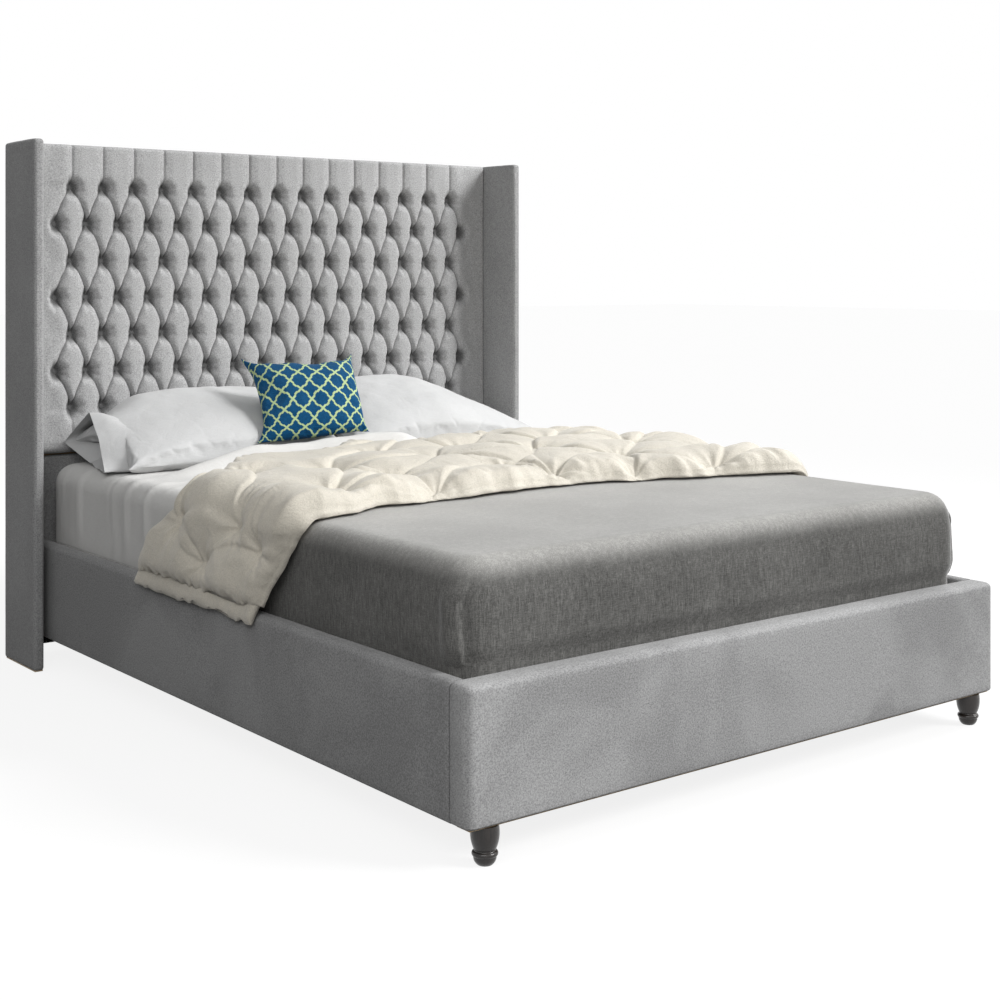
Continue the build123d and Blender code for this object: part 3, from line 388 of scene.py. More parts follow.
GREY = velvet("grey_velvet", 0.38, patches=0.17)
# The rails' and wings' velvet is the same grey velvet made darker: painted shade, because their sides lie in shade.
SHADED_GREY_RAIL = velvet("grey_velvet_rails_painted_shade", 0.3, patches=0.15)
SHADED_GREY_WING = velvet("grey_velvet_wings_painted_shade", 0.335, patches=0.08)
# The tufted pad's velvet gets painted shade in its pits, from y 1.009 to 1.027.
GREY_PAD = velvet("grey_velvet_tufted", 0.41, patches=0.05, folds=(1.009, 1.027))
PINE = wood("pine", (0.42, 0.27, 0.14), (0.72, 0.54, 0.34))
PINE_ACROSS = wood("pine_across", (0.45, 0.3, 0.16), (0.74, 0.57, 0.37), scale=(1.2, 18, 18))
PINE_UP = wood("pine_up", (0.42, 0.27, 0.14), (0.72, 0.54, 0.34), scale=(18, 18, 1.2))
BOARD = wood("board", (0.4, 0.29, 0.18), (0.58, 0.45, 0.3), scale=(3, 3, 3))
DARK = wood("dark_wood", (0.012, 0.01, 0.009), (0.035, 0.028, 0.025), scale=(20, 20, 3), roughness=0.32, coat=0.3)
STEEL = brushed("zinc_steel", (0.55, 0.56, 0.58), 1.0, 0.38)
PLASTIC = brushed("black_plastic", (0.03, 0.03, 0.031), 0.0, 0.5, 700.0)
WHITE = cotton("white_cotton", (0.63, 0.625, 0.61))
PILLOW = cotton("pillow_cotton", (0.55, 0.553, 0.553))
TICKING = ticking_cloth("ticking")
WEAVE = blanket_cloth("grey_weave")
CREAM = comforter_cloth("cream_cotton")
TRELLIS = trellis_cloth("trellis_print", (0.056, 0.068))
BACK = back_cloth_shader("back_cloth")

# CAD nodes that keep their shape
for material, names in (
    (PINE, "side_rail_left_board side_rail_right_board slat_ledger_left slat_ledger_right centre_rail"),
    (PINE_ACROSS, "footboard_board slats_left slats_right headboard_bottom_rail headboard_middle_rail"),
    (PINE_ACROSS, "headboard_top_rail headboard_dowels"),
    (PINE_UP, "headboard_studs headboard_post_left headboard_post_right"),
    (BOARD, "headboard_face_board lower_panel_board wing_left_board wing_right_board"),
    (DARK, "front_foot_left front_foot_right"),
    (PLASTIC, "slat_holders_left slat_holders_right slat_holders_centre centre_leg_glides headboard_glides"),
    (STEEL, "centre_legs centre_rail_hangers corner_brackets_foot corner_brackets_head bracket_bolts_foot"),
    (STEEL, "bracket_bolts_head wing_bolts wing_inserts ledger_screws foot_hanger_bolts"),
):
    for node_name in names.split():
        mesh = nodes[node_name].data
        for i in range(len(mesh.materials)):
            mesh.materials[i] = material


def finish_piece(obj, body, slot, *replaced):
    """Puts a piece on its body and hides the CAD nodes that it stands for; its finish, slot, is not used."""
    if replaced:
        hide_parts(*replaced)
    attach(obj, body)
    return obj


# Headboard pad: deep buttoning as a relief over the whole front


def pad_relief(x, z):
    """How far the pad's front lies behind its crests, in metres."""
    half = PITCH / 2
    row = (TOP_ROW - z) / ROW_PITCH
    upper = np.clip(np.floor(row), 0, ROWS - 2).astype(int)
    s = np.clip(row - upper, 0, 1)
    odd = upper % 2 == 1
    x_up = np.where(odd, PITCH * (np.floor(x / PITCH) + 0.5), PITCH * np.round(x / PITCH))
    q = np.abs(x - x_up) / half
    f = s + 0.55 / math.pi * np.sin(math.pi * s)
    inner = q < f
    span = np.where(inner, f, 1 - f)
    w = np.where(inner, q / np.maximum(f, 1e-6), (1 - q) / np.maximum(1 - f, 1e-6))
    w = np.clip(w, 0, 1)
    to_pleat = (1 - w) * span * half
    field = 0.0125 * w**2.4 * np.sqrt(span) + 0.009 * np.exp(-to_pleat / 0.0026)
    edge = np.where(odd, (LONG_REACH - 0.5 * f) * PITCH, (SHORT_REACH + 0.5 * f) * PITCH)
    past = np.abs(x) - edge
    margin = 0.0095 * np.exp(-past / 0.018) + 0.0085 * np.exp(-past / 0.0035) + 0.0075 * ease(past, 0.01, 0.07)
    depth = np.where(past > 0, margin, field)

    nearest = PITCH * np.clip(np.round(x / PITCH), -SHORT_REACH, SHORT_REACH)
    beside = np.abs(x - nearest)
    for beyond in (z - TOP_ROW, TOP_ROW - ROW_PITCH * (ROWS - 1) - z):
        panel = 0.0085 * np.exp(-beside / 0.0024) + 0.004 * (1 - ease(beside, 0, 0.03))
        panel += 0.006 * ease(np.abs(x) - 7.1 * PITCH, 0, 0.07)
        depth = np.where(beyond > 0, depth * (1 - ease(beyond, 0, 0.02)) + panel * ease(beyond, 0, 0.02), depth)

    pits = np.zeros_like(x)
    for r in range(ROWS):
        reach = LONG_REACH if r % 2 else SHORT_REACH
        column = np.floor(x / PITCH) + 0.5 if r % 2 else np.round(x / PITCH)
        button = PITCH * np.clip(column, -reach, reach)
        dx, dz = x - button, z - (TOP_ROW - r * ROW_PITCH)
        rho = np.hypot(dx / np.where(dx > 0, 0.026, 0.018), dz / np.where(dz > 0, 0.025, 0.03))
        angle = np.arctan2(dz, dx)
        folds = 1 + 0.13 * np.cos(8 * angle + 1.3 * r) * ease(rho, 0.3, 0.9)
        pits = np.maximum(pits, np.exp(-(rho ** 3.1) * folds))
        if r % 2:
            fold = np.exp(-np.abs(dz) / 0.0026) * ease(np.abs(x), reach * PITCH, reach * PITCH + 0.012)
            depth = depth + 0.0022 * fold * (1 - 0.6 * ease(np.abs(x), reach * PITCH, 0.82))
    depth = depth * (1 - 0.5 * pits) + PIT_DEPTH * pits
    return depth + 0.0006 * fractal(np.stack([x, x * 0, z], -1), 0.05, 2, 3)


def top_wrap(start):
    """The velvet's end, drawn back over the top rail and down over the back cloth's edge."""
    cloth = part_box("headboard_back_cloth")[1]
    top, back = PAD_HIGH.z - 0.0009, cloth.y + 0.0006
    start_y, end_z = PAD_HIGH.y - 0.0015, cloth.z - 0.012
    outside = [(start_y, top), (back - 0.006, top), (back - 0.0018, top - 0.0011), (back, top - 0.005), (back, end_z)]
    loop = outside + [(back - 0.0012, end_z), (back - 0.0012, top - 0.0036), (start_y, top - 0.0036)]
    stations = np.linspace(PAD_LOW.x + 0.0004, PAD_HIGH.x - 0.0004, 240)
    sections = np.array([[(x, y, z) for y, z in loop] for x in stations])
    sections[:, 4:6, 2] += 0.0015 * fractal(sections[:, 4:6], 0.05, 2, 12)
    faces = grid_faces(*sections.shape[:2], wrap=True, start=start)
    last = start + sections.shape[0] * sections.shape[1]
    faces += [list(range(start, start + len(loop)))[::-1], list(range(last - len(loop), last))]
    return sections.reshape(-1, 3), faces


def tufted_pad():
    columns = np.linspace(PAD_LOW.x + 0.0004, PAD_HIGH.x - 0.0004, 760)
    levels = np.linspace(PAD_LOW.z + 0.0005, PAD_HIGH.z - 0.0005, 410)
    x, z = np.meshgrid(columns, levels)
    depth = pad_relief(x, z) + 0.0008
    gaps = (z - PAD_LOW.z, PAD_HIGH.z - z, x - PAD_LOW.x, PAD_HIGH.x - x)
    for gap, radius in zip(gaps, (0.016, 0.011, 0.006, 0.006)):
        turn = np.clip(1 - gap / radius, 0, 1)
        depth = depth + radius * (1 - np.sqrt(1 - turn**2))
    y = np.minimum(PAD_LOW.y + depth, PAD_HIGH.y - 0.003)
    front = np.stack([x, y, z], -1)
    rows, cols = x.shape
    faces = grid_faces(rows, cols)
    index = np.arange(rows * cols).reshape(rows, cols)
    rim = np.concatenate([index[0, :], index[1:, -1], index[-1, -2::-1], index[-2:0:-1, 0]])
    back = front.reshape(-1, 3)[rim].copy()
    back[:, 1] = PAD_HIGH.y - 0.0005
    start = rows * cols
    count = len(rim)
    for i in range(count):
        j = (i + 1) % count
        faces.append([int(rim[i]), start + i, start + j, int(rim[j])])
    faces.append(list(range(start, start + count)))
    wrap, wrap_faces = top_wrap(start + count)
    points = np.concatenate([front.reshape(-1, 3), back, wrap])
    return outward(mesh_object("headboard_pad_velvet", points, faces + wrap_faces, GREY_PAD))


finish_piece(tufted_pad(), "frame", "grey_velvet", "headboard_tufted_pad")


def pad_buttons():
    """Cloth-covered domes at the bottoms of the pits, darkened all over to about 0.3 times by the pad velvet's
    painted shade.
    """
    rings = [(0.0, 0.0042), (0.0045, 0.0038), (0.0078, 0.0026), (0.0096, 0.0006), (0.0092, -0.003)]
    points, faces = [], []
    for r in range(ROWS):
        reach = LONG_REACH if r % 2 else SHORT_REACH
        for i in range(int(2 * reach) + 1):
            cx, cz = (i - reach) * PITCH, TOP_ROW - r * ROW_PITCH
            start = len(points)
            for radius, rise in rings:
                for k in range(14):
                    a = 2 * math.pi * k / 14
                    points.append((cx + radius * math.cos(a), BUTTON_SEAT - rise, cz + radius * math.sin(a)))
            faces += grid_faces(len(rings), 14, wrap=True, start=start)
    return mesh_object("button_domes", points, faces, GREY_PAD)


finish_piece(pad_buttons(), "frame", "grey_velvet", "tuft_buttons")


# Padded covers of the footboard, rails, wings and lower panel. A rail's cover reaches into the footboard's seam.
for piece, first, last, step, seed in (
    ("footboard", (0.018, 0.018, 0.008), (0.018, 0.006, 0.012), 0.014, 1),
    ("side_rail_left", (0.014, 0.001, 0.008), (0.014, 0.001, 0.014), 0.016, 2),
    ("side_rail_right", (0.014, 0.001, 0.008), (0.014, 0.001, 0.014), 0.016, 3),
    ("wing_left", (0.009, 0.009, 0.009), (0.009, 0.004, 0.009), 0.012, 4),
    ("wing_right", (0.009, 0.009, 0.009), (0.009, 0.004, 0.009), 0.012, 5),
    ("lower_panel", (0.004, 0.007, 0.006), (0.004, 0.004, 0.006), 0.016, 6),
):
    low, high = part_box(piece + "_cover")
    low.y -= 0.0024 if "rail" in piece else 0
    # Darker copies of the velvet on the rails and wings: painted shade.
    painted_shading = SHADED_GREY_RAIL if "rail" in piece else SHADED_GREY_WING if "wing" in piece else GREY
    slab = padded_slab(piece + "_velvet", low, high, first, last, painted_shading, step=step, seed=seed)
    finish_piece(slab, "frame", "grey_velvet", piece + "_cover")


# Black cloth stapled over the headboard's back
def headboard_back():
    low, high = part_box("headboard_back_cloth")
    x, z = np.meshgrid(np.linspace(low.x, high.x, 160), np.linspace(low.z, high.z, 140))
    grid = np.stack([x, 0 * x, z], -1)
    near_edge = np.exp(-(high.z - z) / 0.02) + np.exp(-(z - low.z) / 0.02)
    staples = 0.00018 * np.cos(x * 2 * math.pi / 0.06) * near_edge
    grid[..., 1] = high.y - 0.0003 + 0.0002 * fractal(grid, 0.2, 3, 9) - staples
    return mesh_object("back_cloth_sheet", grid, grid_faces(*x.shape, flip=True), BACK)


back_sheet = finish_piece(headboard_back(), "frame", "back_cloth", "headboard_back_cloth")


def bed_rings(grow, low, steps_side=20, steps_top=60, spacing=0.014, turns=12):
    """Rings round the mattress, from a hem up its side, over its edge and inwards over its top."""
    half_x = (MATTRESS_HIGH.x - MATTRESS_LOW.x) / 2 + grow
    half_y = (MATTRESS_HIGH.y - MATTRESS_LOW.y) / 2 + grow
    middle = ((MATTRESS_HIGH.x + MATTRESS_LOW.x) / 2, (MATTRESS_HIGH.y + MATTRESS_LOW.y) / 2)
    top = MATTRESS_HIGH.z + grow
    edge = SOFT_EDGE + grow
    corner = CORNER + grow
    profile = [(0, z) for z in np.linspace(low, top - edge, steps_side)]
    bend = np.linspace(0, math.pi / 2, 9)[1:]
    profile += [(edge * (1 - math.cos(a)), top - edge + edge * math.sin(a)) for a in bend]
    profile += [(edge + (half_x - edge - 0.002) * t, top) for t in np.linspace(0, 1, steps_top)[1:]]
    sides = (int(2 * half_y / spacing), int(2 * half_x / spacing))
    rings = []
    for inset, z in profile:
        hx, hy = half_x - inset, half_y - inset
        r = min(max(corner - inset, 0.0005), hx)
        ring = []
        for quadrant, (sx, sy) in enumerate(((1, 1), (-1, 1), (-1, -1), (1, -1))):
            for a in np.linspace(0, math.pi / 2, turns):
                turn = a + quadrant * math.pi / 2
                ring.append((sx * (hx - r) + r * math.cos(turn), sy * (hy - r) + r * math.sin(turn)))
            nx, ny = ((-1, 1), (-1, -1), (1, -1), (1, 1))[quadrant]
            start = ring[-1]
            end = (start[0], ny * (hy - r)) if quadrant % 2 else (nx * (hx - r), start[1])
            for t in np.linspace(0, 1, sides[1 - quadrant % 2])[1:-1]:
                ring.append((start[0] + t * (end[0] - start[0]), start[1] + t * (end[1] - start[1])))
        rings.append([(middle[0] + px, middle[1] + py, z) for px, py in ring])
    return np.array(rings)


def ring_normals(rings):
    """Outward unit normals of the rings' surface."""
    du = np.roll(rings, -1, axis=1) - np.roll(rings, 1, axis=1)
    dv = np.gradient(rings, axis=0)
    n = np.cross(du, dv)
    return n / np.maximum(np.linalg.norm(n, axis=-1, keepdims=True), 1e-9)


# Mattress: a bordered block with piping round its top and bottom
def mattress_piece():
    rings = bed_rings(-0.001, MATTRESS_LOW.z + 0.022)
    bottom = rings[0]
    lower = []
    centre = np.array([0, (MATTRESS_HIGH.y + MATTRESS_LOW.y) / 2, 0])
    for share, z in ((0.993, 0.008), (0.98, 0.001), (0.5, 0.0005), (0.01, 0.0005)):
        ring = (bottom - centre) * [share, share, 1] + centre
        ring[:, 2] = MATTRESS_LOW.z + z
        lower.append(ring)
    rings = np.concatenate([np.array(lower[::-1]), rings])
    border = rings[..., 2]
    for level in (MATTRESS_LOW.z + 0.03, MATTRESS_HIGH.z - 0.045):
        piping = 0.0009 * bell(border - level, 0.004)
        rings = rings + ring_normals(rings) * piping[..., None]
    return outward(mesh_object("mattress_ticking", rings, grid_faces(*rings.shape[:2], wrap=True), TICKING))


finish_piece(mattress_piece(), "mattress_body", "ticking", "mattress")


# White sheet, creased on its sides near the pillows and turned back in a roll in front of the cushion
def sheet_piece():
    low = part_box("white_sheet")[0].z
    rings = bed_rings(SHEET_GAP, low, steps_side=34, steps_top=80, spacing=0.008, turns=20)
    normals = ring_normals(rings)
    x, y, z = np.moveaxis(rings, -1, 0)
    side = ease(np.abs(x), 0.66, 0.745) * ease(y, -0.1, 0.1)
    drape = np.stack([x * 0, y, z * 0.12], -1)
    above = ease(z, 0.35, 0.4)
    lift = (0.0022 + 0.0038 * above) * side * fractal(drape, 0.06, 3, 21)
    drop = MATTRESS_HIGH.z - z
    for place, slant, width, share in ((0.3, 0.1, 0.006, 1.0), (0.37, 0.06, 0.008, 0.8)):
        ridge = bell(y - place + slant * drop, width) * ease(-x, 0.5, 0.7) * share
        lift = lift + (0.002 + 0.0045 * above) * ridge
    lift = lift + 0.0011 * fractal(rings, 0.22, 3, 23) * ease(y, -0.1, 0.1)
    hem = 0.00032 * np.sin(y / 0.011) * np.sin(x / 0.013) * np.exp(-(z - low) / 0.02) * ease(y, -0.1, 0.1)
    along = (y - 0.497) + 0.012 * smooth_noise(np.stack([x, y * 0, z * 0], -1), 0.2, 25)
    roll = bell(along, 0.03) * ease(x, -0.7, -0.34) * (1 - ease(x, 0.08, 0.34)) * ease(z, 0.54, 0.55)
    lift = lift + roll * (0.064 + 0.014 * ease(x, -0.3, 0.05) + 0.005 * fractal(rings, (0.12, 0.03, 1), 2, 27))
    deepest = 0.0009  # keeps the creases outside the mattress
    lift = np.where(lift < 0, -deepest * (1 - np.exp(np.minimum(lift, 0) / deepest)), lift)
    rings = rings + normals * (lift + hem)[..., None]
    return mesh_object("white_sheet_cotton", rings, grid_faces(*rings.shape[:2], wrap=True), WHITE)


sheet = finish_piece(sheet_piece(), "mattress_body", "white_cotton", "white_sheet")


# Grey blanket over the foot half, tucked in, with a folded corner at each foot corner
def blanket_piece():
    low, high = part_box("grey_blanket")
    rings = bed_rings(BLANKET_GAP, low.z, steps_side=48, steps_top=90, spacing=0.006, turns=48)
    normals = ring_normals(rings)
    x, y, z = np.moveaxis(rings, -1, 0)
    drop = MATTRESS_HIGH.z - z
    along = y - MATTRESS_LOW.y
    fold_place = 0.014 + 0.013 * ease(drop, 0.04, 0.08) - 0.005 * ease(drop, 0.08, 0.18)
    groove = bell(along - fold_place + 0.004, 0.006)
    swell = bell(along - fold_place - 0.02, 0.02)
    on_side = ease(np.abs(x), 0.64, 0.68) * ease(drop, 0.03, 0.07)
    above = ease(z, 0.35, 0.39)
    lift = on_side * ((0.0005 + 0.0075 * above) * swell - 0.0014 * above * groove)
    flap = ease(along - fold_place, 0.0, 0.0045) * np.exp(-np.maximum(along - fold_place, 0) / 0.06)
    lift = lift + 0.0085 * flap * on_side * ease(z, 0.344, 0.362)
    sides, foot = np.stack([x * 0, y, z * 0.25], -1), np.stack([x, y * 0, z * 0.3], -1)
    wave = 0.5 + 0.5 * np.clip(fractal(sides, 0.12, 3, 31), -1, 1)
    lift = lift + (0.0055 * above - 0.001) * wave * ease(drop, 0.04, 0.1)
    wave = 0.5 + 0.5 * np.clip(fractal(foot, 0.16, 3, 32), -1, 1)
    lift = lift + (0.0075 * above - 0.001) * wave * ease(-along, -0.03, -0.004) * ease(drop, 0.02, 0.08)
    lift = lift + 0.0008 * np.clip(fractal(rings, 0.3, 3, 33), -1, 1) * ease(-drop, -0.02, 0)
    rings = rings + normals * lift[..., None]
    obj = mesh_object("grey_blanket_cloth", rings, grid_faces(*rings.shape[:2], wrap=True), WEAVE)
    bm = bmesh.new()
    bm.from_mesh(obj.data)
    cut = bm.verts[:] + bm.edges[:] + bm.faces[:]
    bmesh.ops.bisect_plane(bm, geom=cut, plane_co=(0, high.y, 0), plane_no=(0, 1, 0), clear_outer=True)
    bm.to_mesh(obj.data)
    bm.free()
    return obj


blanket = finish_piece(blanket_piece(), "mattress_body", "grey_weave", "grey_blanket")


# Comforter: sections along a path up one side, over the bed and down the other
QUILT_REST = 0.5554
QUILT_BEND = 0.0431
QUILT_FLAT = 0.712
QUILT_TURN = math.radians(75.4)
QUILT_HANG = 0.212
QUILT_REACH = QUILT_FLAT + QUILT_BEND * QUILT_TURN + QUILT_HANG
TOP_CREST, HANGING_CREST = 0.076, 0.042
TOP_EDGE, HANGING_EDGE = 0.05, 0.03
# Share of the reach, then the near and the head edge's y
QUILT_EDGES = (
    (-1.0, -0.2925, 0.3225), (-0.86, -0.354, 0.235), (-0.76, -0.4293, 0.1257), (-0.66, -0.4047, 0.175),
    (-0.52, -0.334, 0.321), (-0.33, -0.3448, 0.4148), (-0.08, -0.3186, 0.4563), (0.18, -0.3202, 0.4947),
    (0.5, -0.4293, 0.5393), (0.74, -0.5093, 0.5193), (1.0, -0.4493, 0.4701),
)
# Distance from the bed's middle, and y
PINCHES = (
    (-0.36, -0.17), (-0.014, -0.176), (0.353, -0.201), (0.681, -0.235), (-0.43, 0.0), (-0.08, 0.03), (0.24, 0.01),
    (0.56, -0.02), (-0.151, 0.227), (0.14, 0.21), (0.446, 0.2), (0.7, 0.16), (-0.333, -0.325), (0.064, -0.283),
    (0.276, -0.352), (0.52, -0.4), (-0.27, 0.385), (0.06, 0.42), (0.36, 0.43), (0.62, 0.42), (-0.822, -0.3),
    (-0.88, -0.05), (-0.777, -0.179), (-0.8, 0.1), (-0.6, -0.27), (-0.62, 0.09), (0.82, -0.33), (0.86, -0.05),
    (0.82, 0.22), (0.86, 0.38),
)


def quilt_path(d):
    """Place, height and lean of the comforter's underside at a distance from the bed's middle."""
    a = np.abs(d)
    turn = np.clip((a - QUILT_FLAT) / QUILT_BEND, 0, QUILT_TURN)
    hang = np.maximum(a - QUILT_FLAT - QUILT_BEND * QUILT_TURN, 0)
    x = np.minimum(a, QUILT_FLAT) + QUILT_BEND * np.sin(turn) + hang * math.cos(QUILT_TURN)
    z = QUILT_REST - QUILT_BEND * (1 - np.cos(turn)) - hang * math.sin(QUILT_TURN)
    return np.sign(d) * x, z, np.sign(d) * turn


def quilt_edge(d, which):
    """The near or head edge, eased between its places."""
    table = np.array(QUILT_EDGES)
    fine = np.linspace(-1, 1, 801)
    values = np.interp(fine, table[:, 0], table[:, which])
    kernel = np.hanning(61)
    padded = np.pad(values, 30, mode="edge")
    return np.interp(d / QUILT_REACH, fine, np.convolve(padded, kernel / kernel.sum(), mode="valid"))


def quilting(d, y):
    """Pinches at the ties, the creases round them, and the valleys from tie to tie."""
    pinch, crease, valley = 0 * d, 0 * d, 0 * d
    for i, (px, py) in enumerate(PINCHES):
        r = np.hypot(d - px, y - py)
        angle = np.arctan2(y - py, d - px)
        pinch = np.maximum(pinch, np.exp(-((r / 0.05) ** 1.1)))
        rays = np.cos(7 * angle + 1.7 * i + 2.5 * r / 0.1) + 0.6 * np.cos(11 * angle - 2.3 * i)
        crease += rays * np.exp(-r / 0.05) * ease(r, 0.004, 0.03)
        for j in range(i):
            run = math.hypot(PINCHES[j][0] - px, PINCHES[j][1] - py)
            if run > 0.36:
                continue
            ux, uy = (PINCHES[j][0] - px) / run, (PINCHES[j][1] - py) / run
            share = ((d - px) * ux + (y - py) * uy) / run
            side = (y - py) * ux - (d - px) * uy
            side = side - run * 0.1 * np.sin(math.pi * np.clip(share, 0, 1)) * (1 if (i + j) % 2 else -1)
            side = side * (1 if (i * j) % 3 else -1)
            groove = np.where(side > 0, np.exp(-side / 0.03), np.exp(side / 0.007))
            ends = ease(share, -0.03, 0.08) * (1 - ease(share, 0.92, 1.03))
            depth = 0.021 - 0.011 * np.sin(math.pi * np.clip(share, 0, 1))
            valley = np.maximum(valley, groove * ends * depth)
    return pinch, crease, valley


def comforter_piece():
    end = QUILT_REACH - 0.045
    stations = np.linspace(-end, end, 480)
    across = 220
    t = (1 - np.cos(np.linspace(0, math.pi, across))) / 2 * 0.35 + np.linspace(0, 1, across) * 0.65
    d = np.repeat(stations[:, None], across, axis=1)
    near, head = quilt_edge(stations, 1)[:, None], quilt_edge(stations, 2)[:, None]
    hanging = np.clip((np.abs(d) - QUILT_FLAT) / (QUILT_REACH - QUILT_FLAT), 0, 1)
    crest = TOP_CREST + hanging * (HANGING_CREST - TOP_CREST)
    edge = TOP_EDGE + hanging * (HANGING_EDGE - TOP_EDGE)
    off = np.abs(2 * t[None, :] - 1)
    top = crest - (crest - edge) * off**5
    y = near + (head - near) * t[None, :]
    pinch, crease, valley = quilting(d, y)
    flat = np.stack([d, y, 0 * d], -1)
    body = 1 + 0.1 * fractal(flat, 0.16, 2, 41)
    height = top * body * (1 - 0.62 * pinch) - valley * (1 - 0.45 * hanging) + 0.0045 * crease
    height += 0.0016 * fractal(flat + 0.02 * smooth_noise(flat, 0.1, 44)[..., None], (0.06, 0.1, 1), 2, 43)
    roll = np.clip(1 - off, 0, 1)
    shoulder = np.sqrt(np.clip(1 - (1 - np.clip(roll / 0.1, 0, 1)) ** 2, 0, 1))
    height = np.maximum(height, 0.012) * (0.3 + 0.7 * shoulder)
    hem = np.exp(-(end - np.abs(d)) / 0.012)
    height = height * (1 - 0.55 * hem)
    scallop = 0.012 * pinch * np.sign(t[None, :] - 0.5) * (1 - ease(roll, 0, 0.2))
    y = y - scallop + 0.004 * fractal(flat, 0.12, 2, 47) * (1 - ease(roll, 0, 0.15))
    rim_wave = fractal(np.stack([d, 0 * d, 0 * d], -1), 0.05, 2, 50)
    y = y + np.sign(t[None, :] - 0.5) * 0.006 * rim_wave * (1 - ease(roll, 0, 0.16))
    height *= 1 + 0.16 * fractal(flat * [1, 0.3, 1], 0.04, 2, 49) * (1 - ease(roll, 0.03, 0.24)) * (1 - hem)
    d_top = d + np.sign(d) * 0.006 * fractal(flat, 0.018, 3, 48) * ease(np.abs(d), end - 0.02, end)

    def lifted(dd, yy, rise):
        x, z, turn = quilt_path(dd)
        return np.stack([x + rise * np.sin(turn), yy, z + rise * np.cos(turn)], -1)

    upper = lifted(d_top, y, height)
    under = lifted(d_top, y, 0.0015 + 0 * d)
    lip = 0.5 * (upper[:, -1] + under[:, -1])
    lip[:, 1] -= 0.01
    fold = 0.5 * (upper[:, 0] + under[:, 0])
    fold[:, 1] -= 0.012
    rings = np.concatenate([fold[:, None], upper, lip[:, None], under[:, ::-1][:, 4:-4:8]], axis=1)
    points, faces, start = [], [], 0

    def add_tube(tube):
        """Rings joined into a closed form."""
        nonlocal start
        count, around = tube.shape[:2]
        last = start + (count - 1) * around
        faces.extend(grid_faces(count, around, wrap=True, start=start))
        faces.append(list(range(start, start + around))[::-1])
        faces.append(list(range(last, last + around)))
        points.append(tube.reshape(-1, 3))
        start += count * around

    add_tube(rings)
    for sign in (-1, 1):
        rows = np.linspace(QUILT_REACH - 0.16, QUILT_REACH - 0.001, 26)
        cols = np.linspace(0.02, 0.98, 110)
        dd = sign * np.repeat(rows[:, None], len(cols), axis=1)
        lo, hi = quilt_edge(sign * rows, 1)[:, None], quilt_edge(sign * rows, 2)[:, None]
        yy = lo + (hi - lo) * cols[None, :]
        place = np.stack([dd, yy, 0 * yy], -1)
        frayed = ease(np.abs(dd), QUILT_REACH - 0.012, QUILT_REACH - 0.001)
        dd = dd + sign * 0.006 * (fractal(place, 0.02, 3, 51) - 0.8) * frayed
        tail = ease(QUILT_REACH - np.abs(dd), -0.002, 0.02)
        rim = ease(np.minimum(cols, 1 - cols)[None, :], 0, 0.04)
        plump = 0.013 + 0.003 * fractal(place, 0.05, 2, 52)
        rise = 0.003 + plump * (0.25 + 0.75 * tail) * (0.3 + 0.7 * rim)
        top_layer, low_layer = lifted(dd, yy, rise), lifted(dd, yy, 0.0012 + 0 * dd)
        add_tube(np.concatenate([top_layer, low_layer[:, ::-1]], axis=1))
    return outward(mesh_object("comforter_cotton", np.concatenate(points), faces, CREAM))


finish_piece(comforter_piece(), "comforter_body", "cream_cotton", "comforter")


